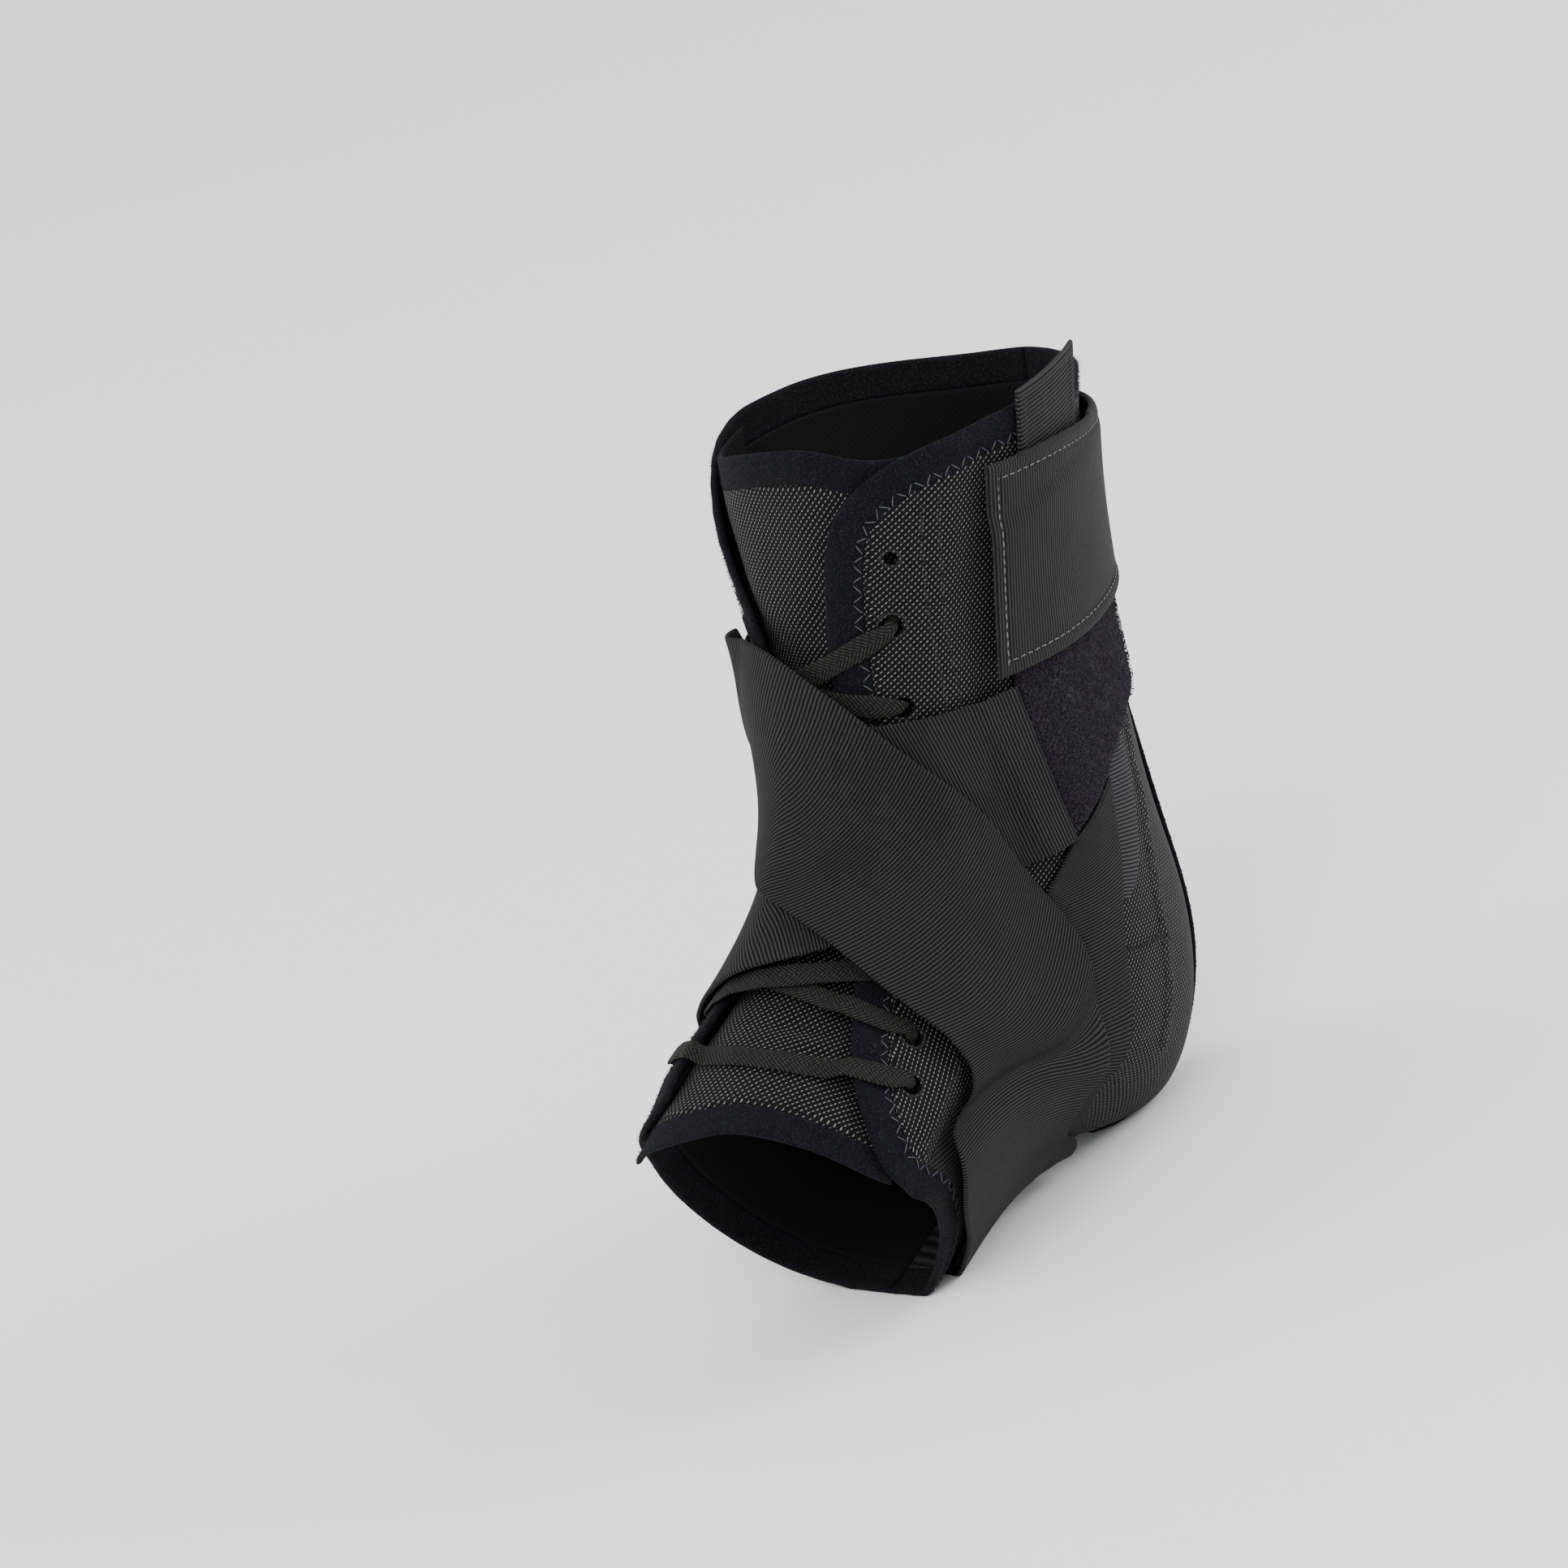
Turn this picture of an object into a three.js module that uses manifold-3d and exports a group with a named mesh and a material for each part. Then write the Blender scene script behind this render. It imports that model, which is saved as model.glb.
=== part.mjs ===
import * as THREE from 'three';
import { mergeVertices } from 'three/addons/utils/BufferGeometryUtils.js';
import Module from 'manifold-3d';

const wasm = await Module();
wasm.setup();

// Right ankle brace that stands on its sole. X points to the inner side of the foot,
// Y to the heel and Z up. All sizes are in millimetres.

// Overall sizes that the foot form follows
const footLength = 170;
const legHeight = 200;
const ankleWidth = 64;

// Cloth, tape and lace
const panelThickness = 1.8;
const tongueThickness = 1.5;
const bindingWidth = 8;
const heelBindingWidth = 11;
const heelBindingThickness = 1.4;
const strapWidth = 50;
const strapThickness = 1.2;
const pileThickness = 1.8;
const cuffWidth = 50;
const cuffThickness = 1.5;
const tabWidth = 24;
const tabLength = 30;
const tabThickness = 1.2;
const laceWidth = 5.2;
const laceThickness = 0.9;
const laceBunchWidth = 3;
const laceBunchThickness = 1.6;

// Eyelets, counted from the top row, which stays empty
const eyeletDiameter = 5.6;
const emptyEyeletDiameter = 4;
const eyeletInset = 13;
const eyeletStations = [2.15, 2.85, 3.75, 4.9, 6.1, 7.4, 8.62, 9.7];
const eyeletSides = 8;

// Gaps between pieces that touch on the real brace
const clearance = 0.4;
const laceClearance = 0.6;
const pileClearance = 0.7;
const strapClearance = 0.7;
const crossingGap = 1.2;
const soleCrossingGap = 0.5;
const seamGap = 0.5;

// Lowest levels of the form, of the straps and of everything else
const soleLevel = -0.4;
const restLevel = -2.2;
const strapLevel = restLevel + 0.2;

// Heights above the form at which the stacked layers lie
const laceLayer = laceThickness + laceClearance;
const strapLayer = strapThickness + crossingGap;
const soleStrapLayer = strapThickness + soleCrossingGap;
const pileLayer = pileThickness + pileClearance;

// Share of the half width at which the sole starts to rise to the arch on the inner side
const archStart = 0.3;

// Sections of the form from the leg down to the toes, as shares of the overall sizes:
// frontY and backY of footLength, frontZ, backZ and arch of legHeight, halfWidth and
// centreX of ankleWidth. frontRound and backRound are the powers of the oval, and egg
// widens its front.
// frontY, frontZ, backY, backZ, halfWidth, frontRound, backRound, egg, centreX, arch
const sections = [
  [-0.106, 1.130, 0.465, 1.190, 0.656, 2.00, 2.00, 0.00, 0.188, 0],
  [-0.118, 0.990, 0.418, 1.030, 0.625, 2.00, 2.00, 0.02, 0.141, 0],
  [-0.141, 0.855, 0.376, 0.875, 0.586, 2.00, 2.00, 0.05, 0.102, 0],
  [-0.165, 0.735, 0.341, 0.730, 0.505, 1.95, 1.90, 0.04, 0.102, 0],
  [-0.190, 0.630, 0.326, 0.585, 0.475, 1.80, 1.75, 0.00, 0.088, 0],
  [-0.226, 0.545, 0.329, 0.430, 0.465, 1.62, 1.60, -0.02, 0.072, 0],
  [-0.276, 0.480, 0.335, 0.270, 0.463, 1.58, 1.55, -0.03, 0.055, 0],
  [-0.335, 0.433, 0.318, 0.115, 0.465, 1.68, 1.65, -0.03, 0.042, 0.010],
  [-0.402, 0.396, 0.182, 0.004, 0.474, 1.80, 2.10, -0.03, 0.036, 0.050],
  [-0.468, 0.366, -0.012, 0.030, 0.484, 1.95, 2.60, -0.05, 0.042, 0.085],
  [-0.528, 0.342, -0.200, 0.038, 0.502, 2.10, 2.70, -0.08, 0.052, 0.100],
  [-0.590, 0.315, -0.388, -0.006, 0.533, 2.20, 2.70, -0.08, 0.076, 0.110],
  [-0.650, 0.286, -0.576, -0.030, 0.565, 2.20, 2.70, -0.08, 0.100, 0.080],
];

// Outer edge of the inner panel, from the back of the top round to the sole.
// station, angle
const medialEdge = [
  [1.95, 180], [1.94, 158], [1.86, 135], [1.72, 110], [1.62, 82], [1.55, 58], [1.58, 41],
  [1.70, 30], [1.93, 22], [2.30, 18], [2.90, 15], [3.80, 14], [5.00, 15], [6.50, 21], [8.25, 34],
  [9.25, 44], [10.05, 54], [10.58, 65], [10.88, 79], [11.00, 98], [11.00, 140], [11.00, 180],
];

// Outer edge of the outer panel, in the same order.
// station, angle
const lateralEdge = [
  [1.95, -180], [1.94, -158], [1.84, -135], [1.68, -110], [1.56, -86], [1.54, -68], [1.64, -52],
  [1.92, -40], [2.35, -31], [2.85, -21], [3.50, -13], [4.40, -8], [5.60, -6], [7.00, -9],
  [8.60, -14], [9.80, -18], [10.75, -24], [11.15, -35], [11.20, -54], [11.12, -90], [11.02, -131],
  [11.00, -180],
];

// Side edges of the tongue. station, lateral angle, medial angle
const tongueSides = [
  [1.20, -74, 58], [2.00, -67, 51], [3.00, -59, 48], [4.40, -50, 50], [6.00, -46, 54],
  [7.40, -44, 60], [8.62, -44, 67], [9.65, -44, 74], [11.60, -44, 83],
];

// End edges of the tongue. angle, top station, toe station
const tongueEnds = [
  [-74, 1.62, 11.50], [-40, 1.52, 11.62], [-20, 1.38, 11.64], [0, 1.30, 11.46], [17, 1.34, 11.22],
  [32, 1.50, 11.10], [50, 1.60, 10.96], [86, 1.70, 10.90],
];

// Edges of the two straps for a strap of tableStrapWidth, each from the sewn start under the
// sole to the free end. rear station, rear angle, front station, front angle
const tableStrapWidth = 50;
const medialStrapEdges = [
  [5.25, 106, 5.80, 87], [6.20, 103, 6.70, 74], [7.25, 104, 7.95, 76], [8.50, 126, 9.50, 102],
  [9.15, 160, 10.60, 158], [9.35, 186, 10.78, 187], [9.40, 208, 10.80, 214],
  [9.15, 230, 10.62, 238], [8.25, 262, 10.15, 271], [7.05, 281, 9.35, 304],
  [5.90, 293, 8.75, 331], [4.85, 314, 8.25, 352], [4.15, 335, 7.60, 373], [3.95, 368, 6.80, 395],
  [3.95, 396, 6.25, 420], [4.00, 418, 5.95, 436], [4.00, 434, 5.75, 447],
];
const lateralStrapEdges = [
  [5.25, -107, 5.80, -88], [6.15, -104, 6.70, -76], [7.25, -104, 7.85, -76],
  [8.20, -118, 9.45, -108], [8.95, -150, 10.35, -146], [9.15, -178, 10.65, -177],
  [9.20, -204, 10.78, -212], [8.85, -232, 10.66, -246], [8.05, -256, 10.32, -262],
  [7.20, -271, 9.70, -270], [6.45, -282, 8.90, -291], [5.90, -291, 8.30, -313],
  [5.15, -304, 7.45, -339], [4.30, -325, 6.55, -363], [3.50, -345, 5.75, -377],
  [3.08, -363, 5.36, -391], [2.98, -380, 5.12, -407], [3.02, -396, 5.02, -420],
  [3.12, -411, 5.02, -433],
];

// Loop pile band behind the ankle, whose ends take the free ends of the straps.
// angle, top station, bottom station
const pileEdges = [
  [72, 3.00, 5.42], [78, 2.98, 5.72], [82, 2.96, 5.67], [92, 2.92, 5.42], [104, 2.90, 5.10],
  [142, 2.90, 4.68], [180, 2.90, 4.55], [218, 2.90, 4.70], [252, 2.90, 5.08], [258, 2.90, 5.23],
  [271, 2.93, 5.58], [278, 2.95, 5.66], [290, 2.98, 5.48], [311, 3.00, 5.20],
];
const pileFrontSlant = 8;

// Cuff strap round the back of the leg. angle, station of its middle, share of cuffWidth
const cuffRoute = [
  [69, 2.84, 1.00], [94, 2.90, 0.99], [130, 2.98, 0.90], [180, 3.00, 0.84], [230, 2.98, 0.86],
  [288, 2.90, 0.90],
];

// Curves

function splineThrough(knots, values) {
  const last = knots.length - 1;
  const bends = knots.map(() => 0);
  const shares = knots.map(() => 0);
  for (let i = 1; i < last; i += 1) {
    const before = knots[i] - knots[i - 1];
    const after = knots[i + 1] - knots[i];
    const pull = 6 * ((values[i + 1] - values[i]) / after - (values[i] - values[i - 1]) / before);
    const pivot = 2 * (before + after) - before * shares[i - 1];
    shares[i] = after / pivot;
    bends[i] = (pull - before * bends[i - 1]) / pivot;
  }
  for (let i = last - 1; i > 0; i -= 1) {
    bends[i] -= shares[i] * bends[i + 1];
  }
  return (knot) => {
    const place = THREE.MathUtils.clamp(knot, knots[0], knots[last]);
    let i = 0;
    while (i < last - 1 && place > knots[i + 1]) {
      i += 1;
    }
    const span = knots[i + 1] - knots[i];
    const b = (place - knots[i]) / span;
    const a = 1 - b;
    const bend = ((a ** 3 - a) * bends[i] + (b ** 3 - b) * bends[i + 1]) * span * span / 6;
    return a * values[i] + b * values[i + 1] + bend;
  };
}

function tableColumn(table, column, key = 0) {
  return splineThrough(table.map((row) => row[key]), table.map((row) => row[column]));
}

const smooth = (share) => THREE.MathUtils.smoothstep(share, 0, 1);

// Form of the foot: station 0 is above the brace on the leg, station 12 past the toe edge.
// The angle is 0 at the shin and instep, 90 on the inner side and 180 at heel and sole.

const sectionNumbers = sections.map((_, i) => i);
const sectionCurves = sections[0].map((_, column) => (
  splineThrough(sectionNumbers, sections.map((row) => row[column]))));

function formPoint(station, angle) {
  const [frontY, frontZ, backY, backZ, halfWidth, frontRound, backRound, egg, centreX, arch] = (
    sectionCurves.map((curve) => curve(station)));
  const turn = THREE.MathUtils.degToRad(angle);
  const cosine = Math.cos(turn);
  const sine = Math.sin(turn);
  const power = cosine > 0 ? frontRound : backRound;
  const size = (Math.abs(cosine) ** power + Math.abs(sine) ** power) ** (-1 / power);
  const reach = cosine * size;
  const side = sine * size * (1 + egg * reach);
  const y = (frontY + backY) / 2 + (frontY - backY) / 2 * reach;
  const z = (frontZ + backZ) / 2 + (frontZ - backZ) / 2 * reach;
  const inner = THREE.MathUtils.clamp((side - archStart) / (1 - archStart), 0, 1);
  return new THREE.Vector3(
    (side * halfWidth + centreX) * ankleWidth,
    y * footLength,
    Math.max((z + arch * inner * smooth((0.5 - reach) / 1.5)) * legHeight, soleLevel),
  );
}

function formTangents(station, angle) {
  const stationStep = 0.05;
  const angleStep = 2;
  return {
    alongStation: formPoint(station + stationStep, angle)
      .sub(formPoint(station - stationStep, angle)).divideScalar(2 * stationStep),
    alongAngle: formPoint(station, angle + angleStep)
      .sub(formPoint(station, angle - angleStep)).divideScalar(2 * angleStep),
  };
}

function formNormal(station, angle) {
  const { alongStation, alongAngle } = formTangents(station, angle);
  return alongStation.cross(alongAngle).normalize();
}

function pointAbove(place, height, level = restLevel) {
  const point = formPoint(place[0], place[1]);
  point.addScaledVector(formNormal(place[0], place[1]), height);
  point.z = Math.max(point.z, level);
  return point;
}

// A walk of a given length over the form, from a place and in a direction in space
function walk(place, direction, length) {
  const stride = 3;
  const steps = Math.max(1, Math.ceil(Math.abs(length) / stride));
  const heading = direction.clone();
  let [station, angle] = place;
  for (let i = 0; i < steps; i += 1) {
    const { alongStation, alongAngle } = formTangents(station, angle);
    const ss = alongStation.dot(alongStation);
    const sa = alongStation.dot(alongAngle);
    const aa = alongAngle.dot(alongAngle);
    const sh = alongStation.dot(heading);
    const ah = alongAngle.dot(heading);
    const spread = ss * aa - sa * sa;
    station += (sh * aa - ah * sa) / spread * length / steps;
    angle += (ah * ss - sh * sa) / spread * length / steps;
    const normal = formNormal(station, angle);
    heading.addScaledVector(normal, -heading.dot(normal)).normalize();
  }
  return [station, angle];
}

// A smooth track through the rows of a table, measured along the form
function trackThrough(rows) {
  const reach = [0];
  for (let i = 1; i < rows.length; i += 1) {
    const step = formPoint(rows[i][0], rows[i][1]).distanceTo(formPoint(rows[i - 1][0], rows[i - 1][1]));
    reach.push(reach[i - 1] + step);
  }
  const curves = rows[0].map((_, column) => splineThrough(reach, rows.map((row) => row[column])));
  return { length: reach.at(-1), reach, at: (distance) => curves.map((curve) => curve(distance)) };
}

// Rows between two distances of a track, closer together where the form bends more
function spacedRows(track, from, to, count) {
  const samples = 240;
  const bendWeight = 28;
  const distances = Array.from({ length: samples + 1 }, (_, i) => from + (to - from) * i / samples);
  const cost = [0];
  for (let i = 1; i <= samples; i += 1) {
    const [a, b] = [track.at(distances[i - 1]), track.at(distances[i])];
    const turn = formNormal(a[0], a[1]).angleTo(formNormal(b[0], b[1]));
    cost.push(cost[i - 1] + Math.abs(distances[i] - distances[i - 1]) + bendWeight * turn);
  }
  const rows = [];
  let i = 0;
  for (let k = 0; k <= count; k += 1) {
    const target = cost.at(-1) * k / count;
    while (i < samples - 1 && cost[i + 1] < target) {
      i += 1;
    }
    const share = (target - cost[i]) / (cost[i + 1] - cost[i]);
    const distance = distances[i] + (distances[i + 1] - distances[i]) * share;
    rows.push({ distance, row: track.at(distance) });
  }
  return rows;
}

function trackFrame(track, distance) {
  const step = 1;
  const before = track.at(Math.max(distance - step, 0));
  const after = track.at(Math.min(distance + step, track.length));
  const here = track.at(distance);
  const normal = formNormal(here[0], here[1]);
  const along = formPoint(after[0], after[1]).sub(formPoint(before[0], before[1]));
  along.addScaledVector(normal, -along.dot(normal)).normalize();
  return { normal, along, across: normal.clone().cross(along) };
}

// Layer heights over the form

const lateralTongueSide = tableColumn(tongueSides, 1);
const medialTongueSide = tableColumn(tongueSides, 2);

function plainAngle(angle) {
  return THREE.MathUtils.euclideanModulo(angle + 180, 360) - 180;
}

// 1 over the tongue, falling to 0 past its side edge
function overTongue([station, angle], margin, fall) {
  const turn = plainAngle(angle);
  const past = turn > 0 ? turn - medialTongueSide(station) : lateralTongueSide(station) - turn;
  return smooth((margin + fall - past) / fall);
}

// 1 beside the eyelets that hold the lace, and 0 past the first and last of them
function besideLace([station]) {
  const before = station - eyeletStations[1] + 1.4;
  const after = eyeletStations.at(-1) + 1.2 - station;
  return smooth(before / 0.8) * smooth(after / 0.8);
}

const panelLift = (place) => tongueThickness + clearance + laceLayer * besideLace(place);
const panelBottom = (place) => panelLift(place) * overTongue(place, 2, 18);
const panelTop = (place) => panelBottom(place) + panelThickness;
const pileBottom = (place) => panelTop(place) + pileClearance;
const strapBottom = (place) => (
  panelTop(place) + strapClearance + laceLayer * overTongue(place, -8, 12));

// Closed solids over the form

function closedGeometry(points, indices) {
  const geometry = new THREE.BufferGeometry();
  geometry.setAttribute('position', new THREE.Float32BufferAttribute(points.flatMap((p) => p.toArray()), 3));
  let volume = 0;
  for (let i = 0; i < indices.length; i += 3) {
    const [a, b, c] = [points[indices[i]], points[indices[i + 1]], points[indices[i + 2]]];
    volume += a.dot(b.clone().cross(c));
  }
  geometry.setIndex(volume < 0 ? indices.toReversed() : indices);
  geometry.computeVertexNormals();
  return geometry;
}

// A sheet over a grid of places, from one height above the form to another
function sheetGeometry(grid, bottom, top, level = restLevel) {
  const rows = grid.length;
  const columns = grid[0].length;
  const points = [bottom, top].flatMap((height) => (
    grid.flatMap((row) => row.map((place) => pointAbove(place, height(place), level)))));
  const index = (layer, i, j) => (layer * rows + i) * columns + j;
  const indices = [];
  const quad = (a, b, c, d) => indices.push(a, b, c, a, c, d);
  const span = (a, b) => points[a].distanceTo(points[b]);
  for (let i = 0; i < rows - 1; i += 1) {
    for (let j = 0; j < columns - 1; j += 1) {
      const [low, high] = [0, 1].map((layer) => (
        [index(layer, i, j), index(layer, i + 1, j), index(layer, i + 1, j + 1), index(layer, i, j + 1)]));
      const turned = span(low[0], low[2]) > span(low[1], low[3]) ? 1 : 0;
      const corner = (list, k) => list[(k + turned) % 4];
      quad(corner(high, 0), corner(high, 1), corner(high, 2), corner(high, 3));
      quad(corner(low, 0), corner(low, 3), corner(low, 2), corner(low, 1));
    }
  }
  for (let i = 0; i < rows - 1; i += 1) {
    quad(index(0, i, 0), index(0, i + 1, 0), index(1, i + 1, 0), index(1, i, 0));
    quad(index(0, i + 1, columns - 1), index(0, i, columns - 1), index(1, i, columns - 1),
      index(1, i + 1, columns - 1));
  }
  for (let j = 0; j < columns - 1; j += 1) {
    quad(index(0, 0, j + 1), index(0, 0, j), index(1, 0, j), index(1, 0, j + 1));
    quad(index(0, rows - 1, j), index(0, rows - 1, j + 1), index(1, rows - 1, j + 1),
      index(1, rows - 1, j));
  }
  return closedGeometry(points, indices);
}

function solidOf(geometry) {
  const bare = geometry.clone();
  bare.deleteAttribute('normal');
  bare.deleteAttribute('uv');
  const merged = mergeVertices(bare, 1e-4);
  return new wasm.Manifold(new wasm.Mesh({
    numProp: 3,
    vertProperties: new Float32Array(merged.attributes.position.array),
    triVerts: new Uint32Array(merged.index.array),
  }));
}

function geometryOf(solid) {
  const mesh = solid.getMesh();
  const geometry = new THREE.BufferGeometry();
  geometry.setAttribute('position', new THREE.BufferAttribute(mesh.vertProperties, 3));
  geometry.setIndex(new THREE.BufferAttribute(mesh.triVerts, 1));
  geometry.computeVertexNormals();
  return geometry;
}

// Materials

const cloth = (color, roughness) => new THREE.MeshStandardMaterial({ color, roughness, metalness: 0 });
const meshCloth = cloth(0x1b1b1d, 0.72);
const bindingCloth = cloth(0x131318, 0.95);
const strapCloth = cloth(0x1d1d1f, 0.8);
const pileCloth = cloth(0x1a1622, 1);
const cuffCloth = cloth(0x222224, 0.82);
const laceCloth = cloth(0x151513, 0.85);
const webbing = cloth(0x101012, 0.7);

const brace = new THREE.Group();

function addPiece(name, geometry, material) {
  const mesh = new THREE.Mesh(geometry, material);
  mesh.name = name;
  brace.add(mesh);
}

// Side panels: the rim is a binding strip, and the mesh cloth fills the area inside it

const sides = {
  medial: { edge: trackThrough(medialEdge), inward: 1, cornerRow: 7, toeRow: 17 },
  lateral: { edge: trackThrough(lateralEdge), inward: -1, cornerRow: 7, toeRow: 17 },
};

const panelRows = 28;
const panelColumns = 12;

// Distances along a panel's rim at which the binding and the panel both have their rows
function rimDistances({ edge, cornerRow, toeRow }) {
  const between = (from, to, count) => (
    spacedRows(edge, from, to, count).map(({ distance }) => distance));
  const corner = edge.reach[cornerRow];
  const toe = edge.reach[toeRow];
  return {
    top: between(0, corner, panelColumns),
    lace: between(corner, toe, panelRows),
    toe: between(toe, edge.length, panelColumns),
  };
}

function insetPlace(side, distance, inset) {
  const { across } = trackFrame(side.edge, distance);
  return walk(side.edge.at(distance), across.multiplyScalar(side.inward), inset);
}

function edgeDistanceAt(side, station) {
  const first = side.edge.reach[side.cornerRow + 1];
  const last = side.edge.reach[side.toeRow];
  let low = first;
  let high = last;
  for (let i = 0; i < 24; i += 1) {
    const middle = (low + high) / 2;
    if (side.edge.at(middle)[0] < station) {
      low = middle;
    } else {
      high = middle;
    }
  }
  return (low + high) / 2;
}

function bindingGrid(side) {
  const { top, lace, toe } = rimDistances(side);
  return [...top, ...lace.slice(1), ...toe.slice(1)].map((distance) => (
    [0, bindingWidth].map((inset) => keepToSide(side, insetPlace(side, distance, inset)))));
}

// The half of the form that a panel may cover ends at the seam
function keepToSide(side, place) {
  const seam = seamPlace(side, place[0]);
  const over = side.inward > 0 ? place[1] > seam[1] : place[1] < seam[1];
  return over ? seam : place;
}

function seamPlace(side, station) {
  const outward = new THREE.Vector3(side.inward, 0, 0);
  const [, angle] = walk([station, 180 * side.inward], outward, seamGap / 2);
  return [station, angle];
}

function seamStations() {
  const margin = bindingWidth + clearance;
  const down = new THREE.Vector3(0, 0, -1);
  const top = walk([medialEdge[0][0], 180], down, margin)[0];
  const toe = walk([medialEdge.at(-1)[0], 180], new THREE.Vector3(0, 1, 0), margin)[0];
  const seam = trackThrough(Array.from({ length: 40 }, (_, i) => [top + (toe - top) * i / 39, 180]));
  return spacedRows(seam, 0, seam.length, panelRows).map(({ row }) => row[0]);
}

function panelGrid(side) {
  const inset = bindingWidth + clearance;
  const distances = rimDistances(side);
  const insetPlaces = (list) => list.map((distance) => (
    keepToSide(side, insetPlace(side, distance, inset))));
  const laceSide = insetPlaces(distances.lace);
  const topSide = insetPlaces(distances.top).reverse();
  const toeSide = insetPlaces(distances.toe);
  const backSide = seamStations().map((station) => seamPlace(side, station));
  topSide[panelColumns] = backSide[0];
  toeSide[panelColumns] = backSide[panelRows];
  return laceSide.map((lacePlace, i) => {
    const t = i / panelRows;
    return topSide.map((topPlace, j) => {
      const s = j / panelColumns;
      return [0, 1].map((k) => (
        (1 - s) * lacePlace[k] + s * backSide[i][k] + (1 - t) * topPlace[k] + t * toeSide[j][k]
        - (1 - s) * (1 - t) * laceSide[0][k] - s * (1 - t) * backSide[0][k]
        - (1 - s) * t * laceSide[panelRows][k] - s * t * backSide[panelRows][k]));
    });
  });
}

function eyeletPlace(side, row) {
  return insetPlace(side, edgeDistanceAt(side, eyeletStations[row]), eyeletInset);
}

function eyeletCutter(place, diameter) {
  const length = 3 * panelThickness;
  const geometry = new THREE.CylinderGeometry(diameter / 2, diameter / 2, length, eyeletSides);
  const normal = formNormal(place[0], place[1]);
  geometry.applyQuaternion(new THREE.Quaternion().setFromUnitVectors(new THREE.Vector3(0, 1, 0), normal));
  const middle = pointAbove(place, panelBottom(place) + panelThickness / 2);
  geometry.translate(middle.x, middle.y, middle.z);
  return solidOf(geometry);
}

for (const [name, side] of Object.entries(sides)) {
  let panel = solidOf(sheetGeometry(panelGrid(side), panelBottom, panelTop));
  eyeletStations.forEach((_, row) => {
    const diameter = row === 0 ? emptyEyeletDiameter : eyeletDiameter;
    panel = panel.subtract(eyeletCutter(eyeletPlace(side, row), diameter));
  });
  addPiece(`${name}_panel`, geometryOf(panel), meshCloth);
  addPiece(`${name}_binding`, sheetGeometry(bindingGrid(side), panelBottom, panelTop), bindingCloth);
}

// Binding tape over the seam, from below the pile band down round the heel to the straps

function heelBinding() {
  const firstStation = pileEdges.find(([angle]) => angle === 180)[2] + 0.12;
  const lastStation = 8.72;
  const inner = seamStations().filter((station) => station > firstStation + 0.1 && station < lastStation - 0.1);
  const stations = [firstStation, ...inner, lastStation];
  const columns = 4;
  return stations.map((station) => Array.from({ length: columns + 1 }, (_, j) => {
    const reach = heelBindingWidth * (j / columns - 0.5);
    return walk([station, 180], new THREE.Vector3(-1, 0, 0), reach);
  }));
}

const heelBottom = () => panelThickness + clearance;
const heelTop = () => heelBottom() + heelBindingThickness;
addPiece('heel_seam_binding', sheetGeometry(heelBinding(), heelBottom, heelTop), bindingCloth);

// Tongue under the lacing, with a tape over each end

const tongueTopStation = tableColumn(tongueEnds, 1);
const tongueToeStation = tableColumn(tongueEnds, 2);

function tonguePlace(topStation, toeStation, along, across) {
  let station = topStation(0) + (toeStation(0) - topStation(0)) * along;
  let angle = 0;
  for (let i = 0; i < 4; i += 1) {
    angle = lateralTongueSide(station) * (1 - across) + medialTongueSide(station) * across;
    station = topStation(angle) + (toeStation(angle) - topStation(angle)) * along;
  }
  return [station, angle];
}

function gridOf(rows, columns, place) {
  return Array.from({ length: rows + 1 }, (_, i) => (
    Array.from({ length: columns + 1 }, (__, j) => place(i / rows, j / columns))));
}

const topBand = (angle) => walk([tongueTopStation(angle), angle], new THREE.Vector3(0, 0, -1), bindingWidth)[0];
const topSeat = (angle) => (
  walk([tongueTopStation(angle), angle], new THREE.Vector3(0, 0, -1), bindingWidth + clearance)[0]);
const toeBand = (angle) => walk([tongueToeStation(angle), angle], new THREE.Vector3(0, 1, 0), bindingWidth)[0];
const toeSeat = (angle) => (
  walk([tongueToeStation(angle), angle], new THREE.Vector3(0, 1, 0), bindingWidth + clearance)[0]);
const tongueBottom = () => 0;
const tongueTop = () => tongueThickness;

addPiece('tongue', sheetGeometry(
  gridOf(22, 8, (t, s) => tonguePlace(topSeat, toeSeat, t, s)), tongueBottom, tongueTop), meshCloth);
addPiece('tongue_top_binding', sheetGeometry(
  gridOf(1, 8, (t, s) => tonguePlace(tongueTopStation, topBand, t, s)), tongueBottom, tongueTop), bindingCloth);
addPiece('tongue_toe_binding', sheetGeometry(
  gridOf(1, 8, (t, s) => tonguePlace(toeBand, tongueToeStation, t, s)), tongueBottom, tongueTop), bindingCloth);

// Straps: each is a band of true width along its route

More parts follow.
